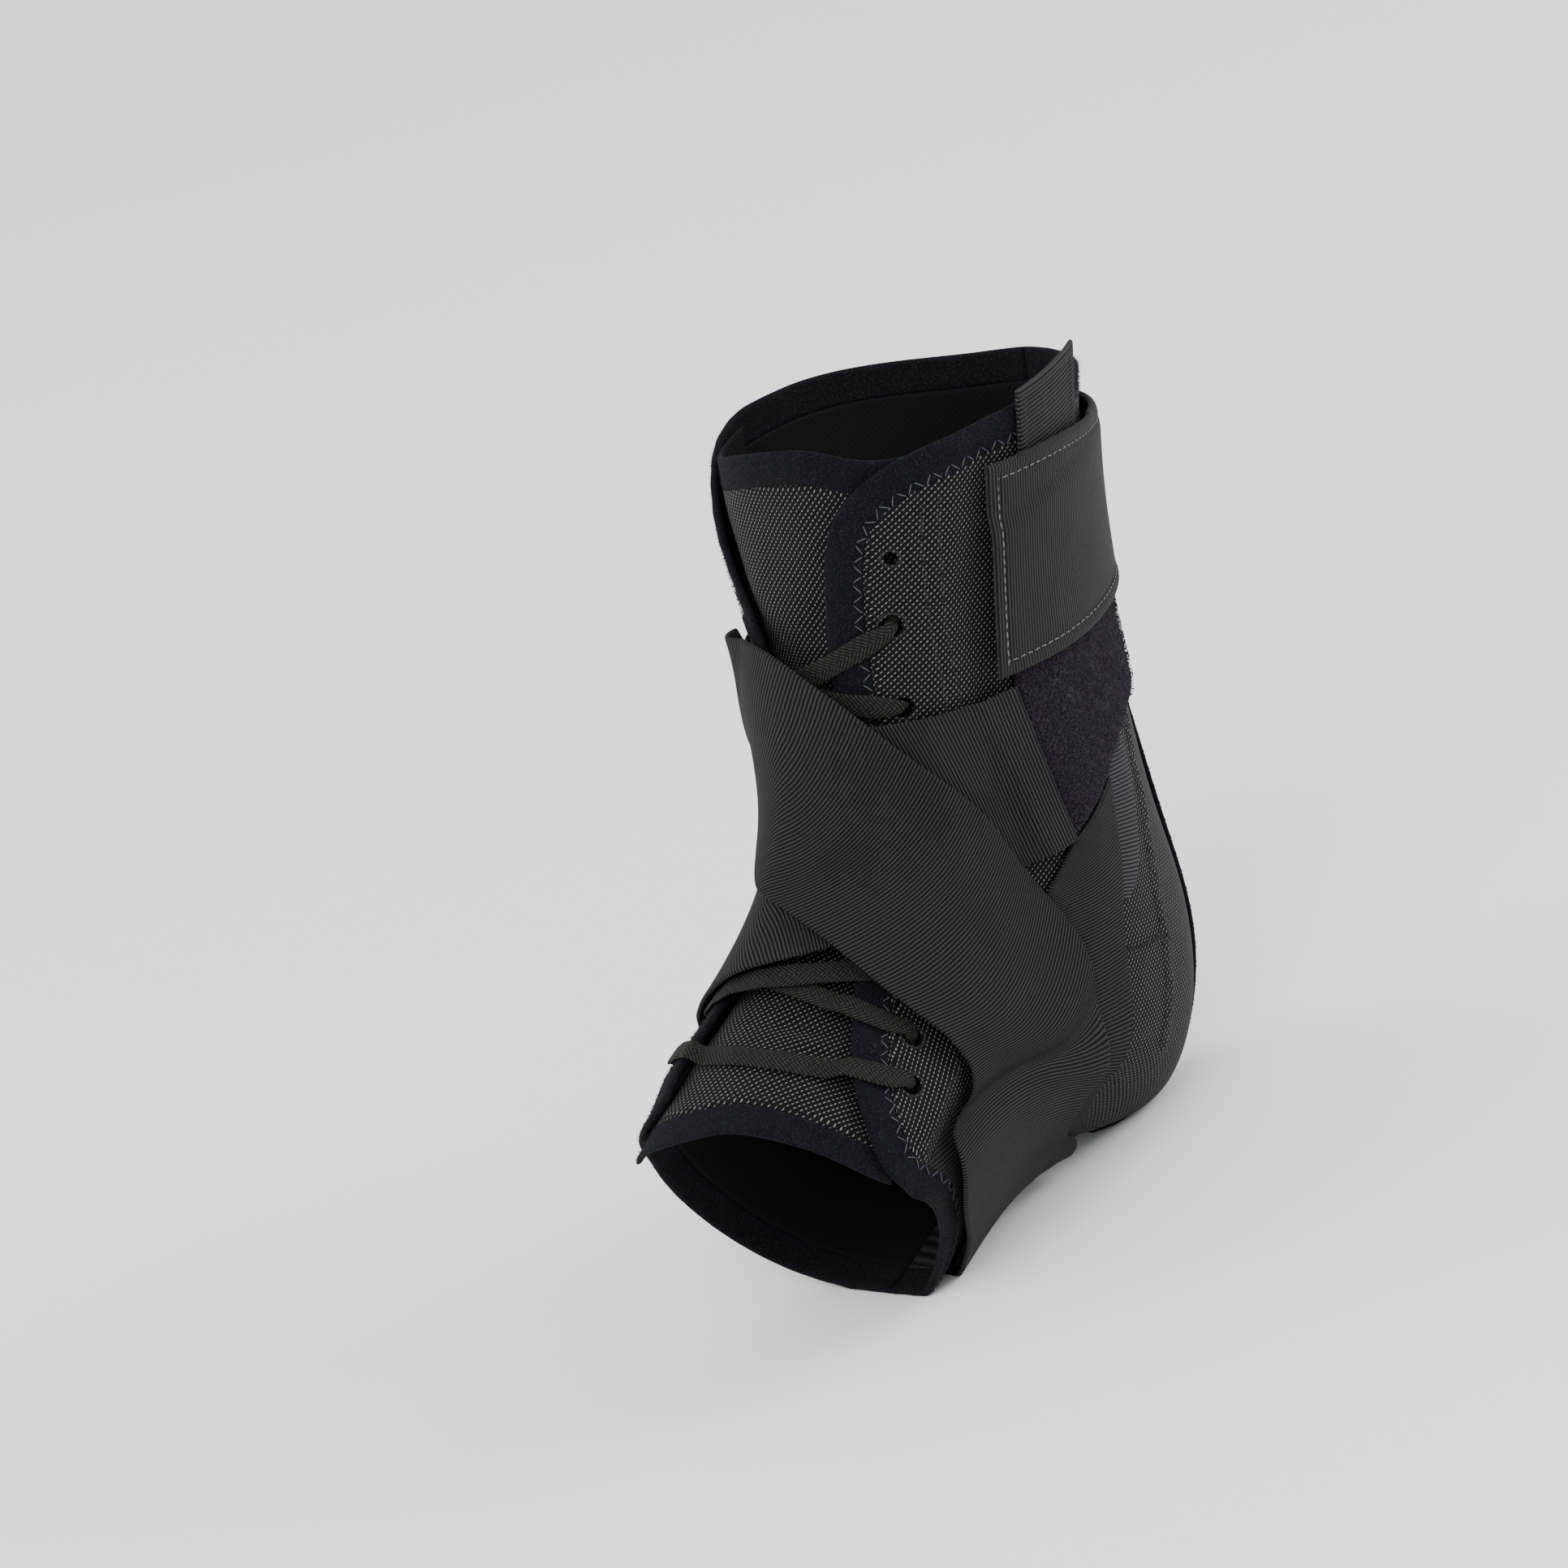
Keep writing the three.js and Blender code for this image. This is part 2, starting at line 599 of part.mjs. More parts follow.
function strapGrid(edges, rowCount, columns) {
  const rear = edges.map((row) => row.slice(0, 2));
  const front = edges.map((row) => row.slice(2));
  const gap = (list, i) => formPoint(...list[i]).distanceTo(formPoint(...list[i - 1]));
  const reach = [0];
  for (let i = 1; i < edges.length; i += 1) {
    reach.push(reach[i - 1] + (gap(rear, i) + gap(front, i)) / 2);
  }
  const curves = edges[0].map((_, column) => splineThrough(reach, edges.map((row) => row[column])));
  const length = reach.at(-1);
  const at = (distance) => {
    const [rearStation, rearAngle, frontStation, frontAngle] = curves.map((curve) => curve(distance));
    return [(rearStation + frontStation) / 2, (rearAngle + frontAngle) / 2,
      frontStation - rearStation, frontAngle - rearAngle];
  };
  return spacedRows({ at }, 0, length, rowCount).map(({ distance, row }) => {
    const [station, angle, stationSpan, angleSpan] = row;
    return Array.from({ length: columns + 1 }, (_, j) => {
      const share = (j / columns - 0.5) * strapWidth / tableStrapWidth;
      const place = [station + stationSpan * share, angle + angleSpan * share];
      place.distance = distance;
      place.left = length - distance;
      return place;
    });
  });
}

// Length of the lateral strap's end part that lies on the outer side
const strapOverlapReach = 60;
const strapRows = 46;
const strapColumns = 7;

// The end of each strap climbs on the pile within a short ramp
const pileClimb = pileThickness + clearance;
const climbOntoPile = (left, overlap) => pileClimb * smooth((overlap + 7 - left) / 6);

const medialStrapBottom = (place) => strapBottom(place) + climbOntoPile(place.left, 6);
// Rear edge of the medial strap over the instep, in front of which the lateral strap lies over it
const crossing = medialStrapEdges.slice(9);
const crossingStation = splineThrough(crossing.map((row) => row[1] - 360), crossing.map((row) => row[0]));
const overOtherStrap = (place) => smooth(place.distance / 18) * (place.left > strapOverlapReach
  ? 1 : smooth((place[0] - crossingStation(plainAngle(place[1])) + 1.2) / 0.8));
const onInstep = ([, angle]) => smooth((140 - Math.abs(plainAngle(angle))) / 40);
const crossingLayer = (place) => (
  soleStrapLayer + (strapLayer - soleStrapLayer) * onInstep(place));
const lateralStrapBottom = (place) => (
  strapBottom(place) + crossingLayer(place) * overOtherStrap(place) + climbOntoPile(place.left, 12));
addPiece('medial_strap', sheetGeometry(strapGrid(medialStrapEdges, strapRows, strapColumns),
  medialStrapBottom, (place) => medialStrapBottom(place) + strapThickness, strapLevel), strapCloth);
addPiece('lateral_strap', sheetGeometry(strapGrid(lateralStrapEdges, strapRows, strapColumns),
  lateralStrapBottom, (place) => lateralStrapBottom(place) + strapThickness, strapLevel), strapCloth);

// Pile band round the back, cuff strap over it and pull tab under the cuff

const pileTopStation = tableColumn(pileEdges, 1);
const pileFootStation = tableColumn(pileEdges, 2);
const [pileFirst, pileLast] = [pileEdges[0][0], pileEdges.at(-1)[0]];

const pileGrid = gridOf(5, 24, (t, s) => {
  const angle = pileFirst + (pileLast - pileFirst) * s;
  const station = pileTopStation(angle) * (1 - t) + pileFootStation(angle) * t;
  return [station, angle + pileFrontSlant * t * ((1 - s) ** 4 - s ** 4)];
});
addPiece('loop_pile_band', sheetGeometry(
  pileGrid, pileBottom, (place) => pileBottom(place) + pileThickness), pileCloth);

const tabAngle = 98;
const tabTopStation = 1.5;
const tabLayer = tabThickness + clearance;
const cuffMiddle = tableColumn(cuffRoute, 1);
const cuffSpread = tableColumn(cuffRoute, 2);
const [cuffFirst, cuffLast] = [cuffRoute[0][0], cuffRoute.at(-1)[0]];
const cuffGrid = gridOf(6, 24, (t, s) => {
  const angle = cuffFirst + (cuffLast - cuffFirst) * s;
  const down = formTangents(cuffMiddle(angle), angle).alongStation.normalize();
  return walk([cuffMiddle(angle), angle], down, cuffWidth * cuffSpread(angle) * (t - 0.5));
});
// The cuff lies over the pile band below and over the pull tab on the inner side
const overPileBand = ([station, angle]) => smooth((station - pileTopStation(angle) + 0.85) / 0.4);
const overTab = ([station, angle]) => smooth((34 - Math.abs(angle - tabAngle)) / 10);
const cuffBottom = (place) => (
  pileBottom(place) + Math.max(pileLayer * overPileBand(place), tabLayer * overTab(place)));
addPiece('cuff_strap', sheetGeometry(
  cuffGrid, cuffBottom, (place) => cuffBottom(place) + cuffThickness), cuffCloth);

const tabGrid = gridOf(4, 3, (t, s) => {
  const start = [tabTopStation, tabAngle];
  const { alongStation, alongAngle } = formTangents(start[0], start[1]);
  const foot = walk(start, alongStation.normalize(), tabLength * t);
  return walk(foot, alongAngle.normalize(), tabWidth * (s - 0.5));
});
const tabBottom = (place) => panelTop(place) + clearance;
addPiece('pull_tab', sheetGeometry(tabGrid, tabBottom, (place) => tabBottom(place) + tabThickness), webbing);

// Lace: one flat lace, crossed outside and carried straight down inside

const laceOutside = (place) => panelTop(place) + laceClearance + laceThickness / 2;
const laceInside = tongueThickness + clearance + laceThickness / 2;
const eyelets = {
  medial: eyeletStations.map((_, row) => eyeletPlace(sides.medial, row)),
  lateral: eyeletStations.map((_, row) => eyeletPlace(sides.lateral, row)),
};
const medialEdgeAngle = (station) => sides.medial.edge.at(edgeDistanceAt(sides.medial, station))[1];
const lateralEdgeAngle = (station) => sides.lateral.edge.at(edgeDistanceAt(sides.lateral, station))[1];

// How far a place lies inside the gap between the panels, in degrees
function pastEdge([station, angle]) {
  return Math.min(medialEdgeAngle(station) - angle, angle - lateralEdgeAngle(station));
}

// A lower run of the lace dips between these two distances from the panels' edges
const [dipStart, dipEnd] = [2.5, 6];
const inGap = (place) => smooth((pastEdge(place) - dipStart) / (dipEnd - dipStart));

// Runs of the lace in order, row numbers as on the panels: from, to, drop in the gap
const laceRuns = [
  [['lateral', 1], ['medial', 2], laceLayer],
  [['medial', 3], ['lateral', 4], 0],
  [['lateral', 5], ['medial', 6], laceLayer],
  [['medial', 7], ['lateral', 7], 2 * laceLayer],
  [['lateral', 6], ['medial', 5], 0],
  [['medial', 4], ['lateral', 3], laceLayer],
  [['lateral', 2], ['medial', 1], 0],
];

// Shares of a run at which it has a stop, with stops where a dip starts and ends
function runShares(start, end) {
  const samples = 120;
  const dips = Array.from({ length: samples + 1 }, (_, i) => pastEdge(blend(start, end, i / samples)));
  const first = (limit) => dips.findIndex((past) => past > limit) / samples;
  const last = (limit) => dips.findLastIndex((past) => past > limit) / samples;
  const [a, b, c, d] = [first(dipStart), first(dipEnd), last(dipEnd), last(dipStart)];
  return [a * 0.35, a * 0.7, a, b, (2 * b + c) / 3, (b + 2 * c) / 3, c, d, 1 - (1 - d) * 0.7, 1 - (1 - d) * 0.35];
}

const laceEndLength = 12;

function blend(a, b, share) {
  return [a[0] + (b[0] - a[0]) * share, a[1] + (b[1] - a[1]) * share];
}

function headingBetween(from, to) {
  const place = blend(from, to, 0.5);
  const normal = formNormal(place[0], place[1]);
  const heading = formPoint(to[0], to[1]).sub(formPoint(from[0], from[1]));
  return heading.addScaledVector(normal, -heading.dot(normal)).normalize();
}

function sideways(place, heading) {
  return formNormal(place[0], place[1]).cross(heading).normalize();
}

// Stops of the lace through one eyelet, from the outside inwards
function eyeletStops(place, outHeading, inHeading) {
  const bend = 2.2;
  const outSide = sideways(place, outHeading);
  const inSide = sideways(place, inHeading);
  if (outSide.dot(inSide) < 0) {
    inSide.negate();
  }
  const levels = [1, 0.5, 0].map((share) => panelBottom(place) + panelThickness * share);
  const through = levels.map((height, i) => ({
    point: pointAbove(place, height),
    side: outSide.clone().lerp(inSide, (i + 1) / 4),
    width: laceBunchWidth,
    thickness: laceBunchThickness,
  }));
  const outer = walk(place, outHeading, -bend);
  const inner = walk(place, inHeading, bend);
  return [
    { point: pointAbove(outer, laceOutside(outer)), side: outSide, width: laceBunchWidth + 0.8, thickness: laceThickness },
    ...through,
    { point: pointAbove(inner, laceInside), side: inSide, width: laceBunchWidth + 0.8, thickness: laceThickness },
  ];
}

function laceStops() {
  const placeOf = ([side, row]) => eyelets[side][row];
  const stops = [];
  const flat = (place, height, heading) => stops.push({
    point: pointAbove(place, height), side: sideways(place, heading), width: laceWidth, thickness: laceThickness,
  });
  laceRuns.forEach(([from, to, drop], i) => {
    const start = placeOf(from);
    const end = placeOf(to);
    const heading = headingBetween(start, end);
    const before = i > 0 ? placeOf(laceRuns[i - 1][1]) : eyelets[from[0]][from[1] - 1];
    const after = i < laceRuns.length - 1 ? placeOf(laceRuns[i + 1][0]) : eyelets[to[0]][to[1] - 1];
    const inStart = headingBetween(before, start);
    const inEnd = headingBetween(end, after);
    if (i === 0) {
      flat(walk(start, inStart, -laceEndLength), laceInside, inStart);
      flat(walk(start, inStart, -laceEndLength / 2), laceInside, inStart);
    }
    stops.push(...eyeletStops(start, heading.clone().negate(), inStart.clone().negate()).reverse());
    runShares(start, end).forEach((share) => {
      const place = blend(start, end, share);
      flat(place, laceOutside(place) - drop * inGap(place), heading);
    });
    stops.push(...eyeletStops(end, heading, inEnd));
    if (i === laceRuns.length - 1) {
      flat(walk(end, inEnd, laceEndLength / 2), laceInside, inEnd);
      flat(walk(end, inEnd, laceEndLength), laceInside, inEnd);
    } else {
      [0.3, 0.5, 0.7].forEach((share) => flat(blend(end, after, share), laceInside, inEnd));
    }
  });
  return stops;
}

function ribbonGeometry(stops) {
  const points = [];
  const indices = [];
  let lastSide = stops[0].side;
  stops.forEach((stop, i) => {
    const along = stops[Math.min(i + 1, stops.length - 1)].point.clone()
      .sub(stops[Math.max(i - 1, 0)].point).normalize();
    const side = stop.side.clone().addScaledVector(along, -stop.side.dot(along)).normalize();
    if (side.dot(lastSide) < 0) {
      side.negate();
    }
    lastSide = side;
    const up = along.clone().cross(side);
    [[1, 1], [-1, 1], [-1, -1], [1, -1]].forEach(([a, b]) => {
      points.push(stop.point.clone()
        .addScaledVector(side, a * stop.width / 2)
        .addScaledVector(up, b * stop.thickness / 2));
    });
  });
  for (let i = 0; i < stops.length - 1; i += 1) {
    for (let k = 0; k < 4; k += 1) {
      const a = 4 * i + k;
      const b = 4 * i + (k + 1) % 4;
      indices.push(a, b, b + 4, a, b + 4, a + 4);
    }
  }
  const end = 4 * (stops.length - 1);
  indices.push(0, 2, 1, 0, 3, 2, end, end + 1, end + 2, end, end + 2, end + 3);
  return closedGeometry(points, indices);
}

addPiece('lace', ribbonGeometry(laceStops()), laceCloth);

// The origin is the middle of the ground that the brace stands on
const box = new THREE.Box3().setFromObject(brace);
const middle = box.getCenter(new THREE.Vector3());
brace.children.forEach((mesh) => mesh.position.set(-middle.x, -middle.y, -box.min.z));

export default brace;
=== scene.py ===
import math

import bpy
import numpy as np
from mathutils import Matrix, Vector


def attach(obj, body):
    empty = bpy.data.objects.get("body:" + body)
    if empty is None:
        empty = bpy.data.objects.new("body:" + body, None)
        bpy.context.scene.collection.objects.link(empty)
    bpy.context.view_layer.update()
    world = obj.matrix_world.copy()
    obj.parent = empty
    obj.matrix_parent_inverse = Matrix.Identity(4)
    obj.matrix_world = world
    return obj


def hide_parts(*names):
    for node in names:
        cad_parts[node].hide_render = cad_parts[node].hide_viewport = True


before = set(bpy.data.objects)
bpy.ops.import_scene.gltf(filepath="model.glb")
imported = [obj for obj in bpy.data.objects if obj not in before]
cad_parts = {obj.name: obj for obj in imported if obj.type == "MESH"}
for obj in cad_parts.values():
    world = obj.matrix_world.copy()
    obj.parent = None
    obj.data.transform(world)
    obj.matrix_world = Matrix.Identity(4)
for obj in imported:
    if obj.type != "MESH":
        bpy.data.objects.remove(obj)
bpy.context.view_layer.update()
print("frame loaded")

# Camera and studio first

photoSize = 1932
cameraSettings = {
    "azimuth": 48.0, "elevation": 20.0, "roll": 18.5,
    "target": (-0.006834, 0.019793, 0.1022), "distance": 1.5,
    "focal": 8025.0, "centre": (1140.0, 944.0), "sensor": 36.0, "clip": (0.05, 20.0),
}


def addObject(name, data):
    made = bpy.data.objects.new(name, data)
    bpy.context.scene.collection.objects.link(made)
    return made


def makeCamera(s):
    a, e, r = (math.radians(s[k]) for k in ("azimuth", "elevation", "roll"))
    back = Vector((math.sin(a) * math.cos(e), -math.cos(a) * math.cos(e), math.sin(e)))
    right = Vector((math.cos(a), math.sin(a), 0))
    up = back.cross(right)
    across = right * math.cos(r) - up * math.sin(r)
    upward = right * math.sin(r) + up * math.cos(r)
    data = bpy.data.cameras.new("camera")
    data.sensor_width = s["sensor"]
    data.lens = s["focal"] / photoSize * s["sensor"]
    data.shift_x = (photoSize / 2 - s["centre"][0]) / photoSize
    data.shift_y = (s["centre"][1] - photoSize / 2) / photoSize
    data.clip_start, data.clip_end = s["clip"]
    camera = addObject("camera", data)
    turn = Matrix((across, upward, back)).transposed().to_4x4()
    camera.matrix_world = Matrix.Translation(Vector(s["target"]) + back * s["distance"]) @ turn
    bpy.context.scene.camera = camera


makeCamera(cameraSettings)

studio = {
    "floorSize": 12.0, "floorColor": (0.93, 0.93, 0.93), "floorRoughness": 0.8,
    "worldColor": (0.97, 0.98, 1.0), "worldPower": 1.15, "lampAim": (0, 0, 0.1),
    "lamps": [
        {"place": (0.9, -1.5, 1.7), "power": 40, "size": 1.3},
        {"place": (-1.6, -0.9, 1.2), "power": 20, "size": 1.5},
        {"place": (1.4, 1.3, 1.3), "power": 30, "size": 1.0},
    ],
}


def makeStudio(s):
    mesh = bpy.data.meshes.new("floor")
    half = s["floorSize"] / 2
    corners = [(-half, -half, 0), (half, -half, 0), (half, half, 0), (-half, half, 0)]
    mesh.from_pydata(corners, [], [(0, 1, 2, 3)])
    floor = addObject("floor", mesh)
    paint = bpy.data.materials.new("floor_paint")
    paint.use_nodes = True
    shader = paint.node_tree.nodes["Principled BSDF"]
    shader.inputs["Base Color"].default_value = (*s["floorColor"], 1)
    shader.inputs["Roughness"].default_value = s["floorRoughness"]
    mesh.materials.append(paint)
    world = bpy.data.worlds.new("studio")
    world.use_nodes = True
    light = world.node_tree.nodes["Background"]
    light.inputs["Color"].default_value = (*s["worldColor"], 1)
    light.inputs["Strength"].default_value = s["worldPower"]
    bpy.context.scene.world = world
    for i, lamp in enumerate(s["lamps"]):
        data = bpy.data.lights.new(f"soft_box_{i}", "AREA")
        data.energy = lamp["power"]
        data.size = lamp["size"]
        holder = addObject(f"soft_box_{i}", data)
        holder.location = lamp["place"]
        holder.rotation_mode = "QUATERNION"
        back = Vector(lamp["place"]) - Vector(s["lampAim"])
        holder.rotation_quaternion = back.to_track_quat("Z", "Y")


makeStudio(studio)
print("camera and studio made")

# Form of the foot, in millimetres, as the solids follow it: station 0 is on the leg above
# the brace and station 12 past the toe edge, angle 0 at the instep and 180 at heel and sole

form = {
    "footLength": 170, "legHeight": 200, "ankleWidth": 64, "archStart": 0.3,
    "soleLevel": -0.4, "restLevel": -2.2, "strapLevel": -2.0,
    # from the form's own millimetres to the frame's
    "shift": (-6.8345, 19.7924, 2.2),
    # front y, front z, back y, back z, half width, front and back roundness, egg, centre x, arch
    "sections": [
        [-0.106, 1.130, 0.465, 1.190, 0.656, 2.00, 2.00, 0.00, 0.188, 0],
        [-0.118, 0.990, 0.418, 1.030, 0.625, 2.00, 2.00, 0.02, 0.141, 0],
        [-0.141, 0.855, 0.376, 0.875, 0.586, 2.00, 2.00, 0.05, 0.102, 0],
        [-0.165, 0.735, 0.341, 0.730, 0.505, 1.95, 1.90, 0.04, 0.102, 0],
        [-0.190, 0.630, 0.326, 0.585, 0.475, 1.80, 1.75, 0.00, 0.088, 0],
        [-0.226, 0.545, 0.329, 0.430, 0.465, 1.62, 1.60, -0.02, 0.072, 0],
        [-0.276, 0.480, 0.335, 0.270, 0.463, 1.58, 1.55, -0.03, 0.055, 0],
        [-0.335, 0.433, 0.318, 0.115, 0.465, 1.68, 1.65, -0.03, 0.042, 0.010],
        [-0.402, 0.396, 0.182, 0.004, 0.474, 1.80, 2.10, -0.03, 0.036, 0.050],
        [-0.468, 0.366, -0.012, 0.030, 0.484, 1.95, 2.60, -0.05, 0.042, 0.085],
        [-0.528, 0.342, -0.200, 0.038, 0.502, 2.10, 2.70, -0.08, 0.052, 0.100],
        [-0.590, 0.315, -0.388, -0.006, 0.533, 2.20, 2.70, -0.08, 0.076, 0.110],
        [-0.650, 0.286, -0.576, -0.030, 0.565, 2.20, 2.70, -0.08, 0.100, 0.080],
    ],
}


def smooth(share):
    share = np.clip(share, 0, 1)
    return share * share * (3 - 2 * share)


def splineThrough(knots, values):
    x = np.asarray(knots, float)
    y = np.asarray(values, float)
    n = len(x)
    h = np.diff(x)
    a = np.eye(n)
    b = np.zeros(n)
    for i in range(1, n - 1):
        a[i, i - 1], a[i, i], a[i, i + 1] = h[i - 1], 2 * (h[i - 1] + h[i]), h[i]
        b[i] = 6 * ((y[i + 1] - y[i]) / h[i] - (y[i] - y[i - 1]) / h[i - 1])
    bends = np.linalg.solve(a, b)

    def at(place):
        p = np.clip(np.asarray(place, float), x[0], x[-1])
        i = np.clip(np.searchsorted(x, p, side="left") - 1, 0, n - 2)
        u = (p - x[i]) / h[i]
        v = 1 - u
        bend = ((v ** 3 - v) * bends[i] + (u ** 3 - u) * bends[i + 1]) * h[i] ** 2 / 6
        return v * y[i] + u * y[i + 1] + bend

    return at


sectionCurves = [splineThrough(range(13), column) for column in zip(*form["sections"])]


def formPoint(station, angle):
    frontY, frontZ, backY, backZ, halfWidth, frontRound, backRound, egg, centreX, arch = (
        curve(station) for curve in sectionCurves)
    turn = np.radians(angle)
    c, s = np.cos(turn), np.sin(turn)
    power = np.where(c > 0, frontRound, backRound)
    size = (np.abs(c) ** power + np.abs(s) ** power) ** (-1 / power)
    reach = c * size
    side = s * size * (1 + egg * reach)
    y = (frontY + backY) / 2 + (frontY - backY) / 2 * reach
    z = (frontZ + backZ) / 2 + (frontZ - backZ) / 2 * reach
    inner = np.clip((side - form["archStart"]) / (1 - form["archStart"]), 0, 1)
    lifted = (z + arch * inner * smooth((0.5 - reach) / 1.5)) * form["legHeight"]
    x = (side * halfWidth + centreX) * form["ankleWidth"]
    return np.stack([x, y * form["footLength"], np.maximum(lifted, form["soleLevel"])], -1)


def formTangents(station, angle):
    ds, da = 0.05, 2.0
    alongStation = (formPoint(station + ds, angle) - formPoint(station - ds, angle)) / (2 * ds)
    alongAngle = (formPoint(station, angle + da) - formPoint(station, angle - da)) / (2 * da)
    return alongStation, alongAngle


def unit(v):
    return v / np.maximum(np.linalg.norm(v, axis=-1, keepdims=True), 1e-12)


def formNormal(station, angle):
    return unit(np.cross(*formTangents(station, angle)))


def pointAbove(station, angle, height, level=None):
    p = formPoint(station, angle) + formNormal(station, angle) * np.asarray(height)[..., None]
    p[..., 2] = np.maximum(p[..., 2], form["restLevel"] if level is None else level)
    return p


def walk(station, angle, direction, length, stride=3.0):
    # a walk of a given length over the form
    steps = max(1, int(math.ceil(np.max(np.abs(length)) / stride)))
    station, angle = np.array(station, float), np.array(angle, float)
    heading = np.array(direction, float) * np.ones(station.shape + (1,))
    for _ in range(steps):
        p, q = formTangents(station, angle)
        ss, sa, aa = (p * p).sum(-1), (p * q).sum(-1), (q * q).sum(-1)
        sh, ah = (p * heading).sum(-1), (q * heading).sum(-1)
        spread = ss * aa - sa * sa
        station = station + (sh * aa - ah * sa) / spread * length / steps
        angle = angle + (ah * ss - sh * sa) / spread * length / steps
        n = formNormal(station, angle)
        heading = unit(heading - n * (heading * n).sum(-1, keepdims=True))
    return station, angle


# Tables and layers, as in the solids

layer = {
    "panel": 1.8, "tongue": 1.5, "bindingWidth": 8.0, "clearance": 0.4, "lace": 0.9, "laceGap": 0.6,
    "laceWidth": 5.2, "bunchWidth": 3.0, "bunchThickness": 1.6, "pile": 1.8, "pileGap": 0.7, "strap": 1.2,
    "strapGap": 0.7, "crossingGap": 1.2, "soleGap": 0.5, "heelBinding": 1.4, "heelWidth": 11.0,
    "cuff": 1.5, "cuffWidth": 50.0, "tab": 1.2, "tabWidth": 24.0, "tabLength": 30.0,
    "seamGap": 0.1, "tuck": 0.3,
}
laceLayer = layer["lace"] + layer["laceGap"]
eyeletStations = [2.15, 2.85, 3.75, 4.9, 6.1, 7.4, 8.62, 9.7]
eyeletInset = 13

# station and angle of the panels' outer edges, from the back of the top round to the sole
medialEdge = [
    [1.95, 180], [1.94, 158], [1.86, 135], [1.72, 110], [1.62, 82], [1.55, 58], [1.58, 41],
    [1.70, 30], [1.93, 22], [2.30, 18], [2.90, 15], [3.80, 14], [5.00, 15], [6.50, 21], [8.25, 34],
    [9.25, 44], [10.05, 54], [10.58, 65], [10.88, 79], [11.00, 98], [11.00, 140], [11.00, 180],
]
lateralEdge = [
    [1.95, -180], [1.94, -158], [1.84, -135], [1.68, -110], [1.56, -86], [1.54, -68], [1.64, -52],
    [1.92, -40], [2.35, -31], [2.85, -21], [3.50, -13], [4.40, -8], [5.60, -6], [7.00, -9],
    [8.60, -14], [9.80, -18], [10.75, -24], [11.15, -35], [11.20, -54], [11.12, -90], [11.02, -131],
    [11.00, -180],
]

# station, lateral angle, medial angle of the tongue's sides, and angle, top and toe station of its ends
tongueSides = [
    [1.20, -74, 58], [2.00, -67, 51], [3.00, -59, 48], [4.40, -50, 50], [6.00, -46, 54],
    [7.40, -44, 60], [8.62, -44, 67], [9.65, -44, 74], [11.60, -44, 83],
]
tongueEnds = [
    [-74, 1.62, 11.50], [-40, 1.52, 11.62], [-20, 1.38, 11.64], [0, 1.30, 11.46], [17, 1.34, 11.22],
    [32, 1.50, 11.10], [50, 1.60, 10.96], [86, 1.70, 10.90],
]

# rear station, rear angle, front station, front angle of the straps
medialStrapEdges = [
    [5.25, 106, 5.80, 87], [6.20, 103, 6.70, 74], [7.25, 104, 7.95, 76], [8.50, 126, 9.50, 102],
    [9.15, 160, 10.60, 158], [9.35, 186, 10.78, 187], [9.40, 208, 10.80, 214],
    [9.15, 230, 10.62, 238], [8.25, 262, 10.15, 271], [7.05, 281, 9.35, 304],
    [5.90, 293, 8.75, 331], [4.85, 314, 8.25, 352], [4.15, 335, 7.60, 373], [3.95, 368, 6.80, 395],
    [3.95, 396, 6.25, 420], [4.00, 418, 5.95, 436], [4.00, 434, 5.75, 447],
]
lateralStrapEdges = [
    [5.25, -107, 5.80, -88], [6.15, -104, 6.70, -76], [7.25, -104, 7.85, -76],
    [8.20, -118, 9.45, -108], [8.95, -150, 10.35, -146], [9.15, -178, 10.65, -177],
    [9.20, -204, 10.78, -212], [8.85, -232, 10.66, -246], [8.05, -256, 10.32, -262],
    [7.20, -271, 9.70, -270], [6.45, -282, 8.90, -291], [5.90, -291, 8.30, -313],
    [5.15, -304, 7.45, -339], [4.30, -325, 6.55, -363], [3.50, -345, 5.75, -377],
    [3.08, -363, 5.36, -391], [2.98, -380, 5.12, -407], [3.02, -396, 5.02, -420],
    [3.12, -411, 5.02, -433],
]

# angle, top station, bottom station of the pile band, and angle, middle, share of the width of the cuff
pileEdges = [
    [72, 3.00, 5.42], [78, 2.98, 5.72], [82, 2.96, 5.67], [92, 2.92, 5.42], [104, 2.90, 5.10],
    [142, 2.90, 4.68], [180, 2.90, 4.55], [218, 2.90, 4.70], [252, 2.90, 5.08], [258, 2.90, 5.23],
    [271, 2.93, 5.58], [278, 2.95, 5.66], [290, 2.98, 5.48], [311, 3.00, 5.20],
]
cuffRoute = [
    [69, 2.84, 1.00], [94, 2.90, 0.99], [130, 2.98, 0.90], [180, 3.00, 0.84], [230, 2.98, 0.86],
    [288, 2.90, 0.90],
]


def column(table, index, key=0):
    rows = np.array(table, float)
    return splineThrough(rows[:, key], rows[:, index])


def track(rows):
    rows = np.array(rows, float)
    points = formPoint(rows[:, 0], rows[:, 1])
    reach = np.concatenate([[0], np.cumsum(np.linalg.norm(np.diff(points, axis=0), axis=1))])
    curves = [splineThrough(reach, c) for c in rows.T]
    return {"reach": reach, "length": reach[-1], "at": lambda d: [c(d) for c in curves]}


def spaced(at, start, end, shares):
    # distances along a track, closer together where the form bends more
    d = np.linspace(start, end, 241)
    n = formNormal(*at(d)[:2])
    turn = np.arccos(np.clip((n[1:] * n[:-1]).sum(-1), -1, 1))
    cost = np.concatenate([[0], np.cumsum(np.abs(np.diff(d)) + 28 * turn)])
    return np.interp(np.asarray(shares) * cost[-1], cost, d)


lateralTongueSide = column(tongueSides, 1)
medialTongueSide = column(tongueSides, 2)


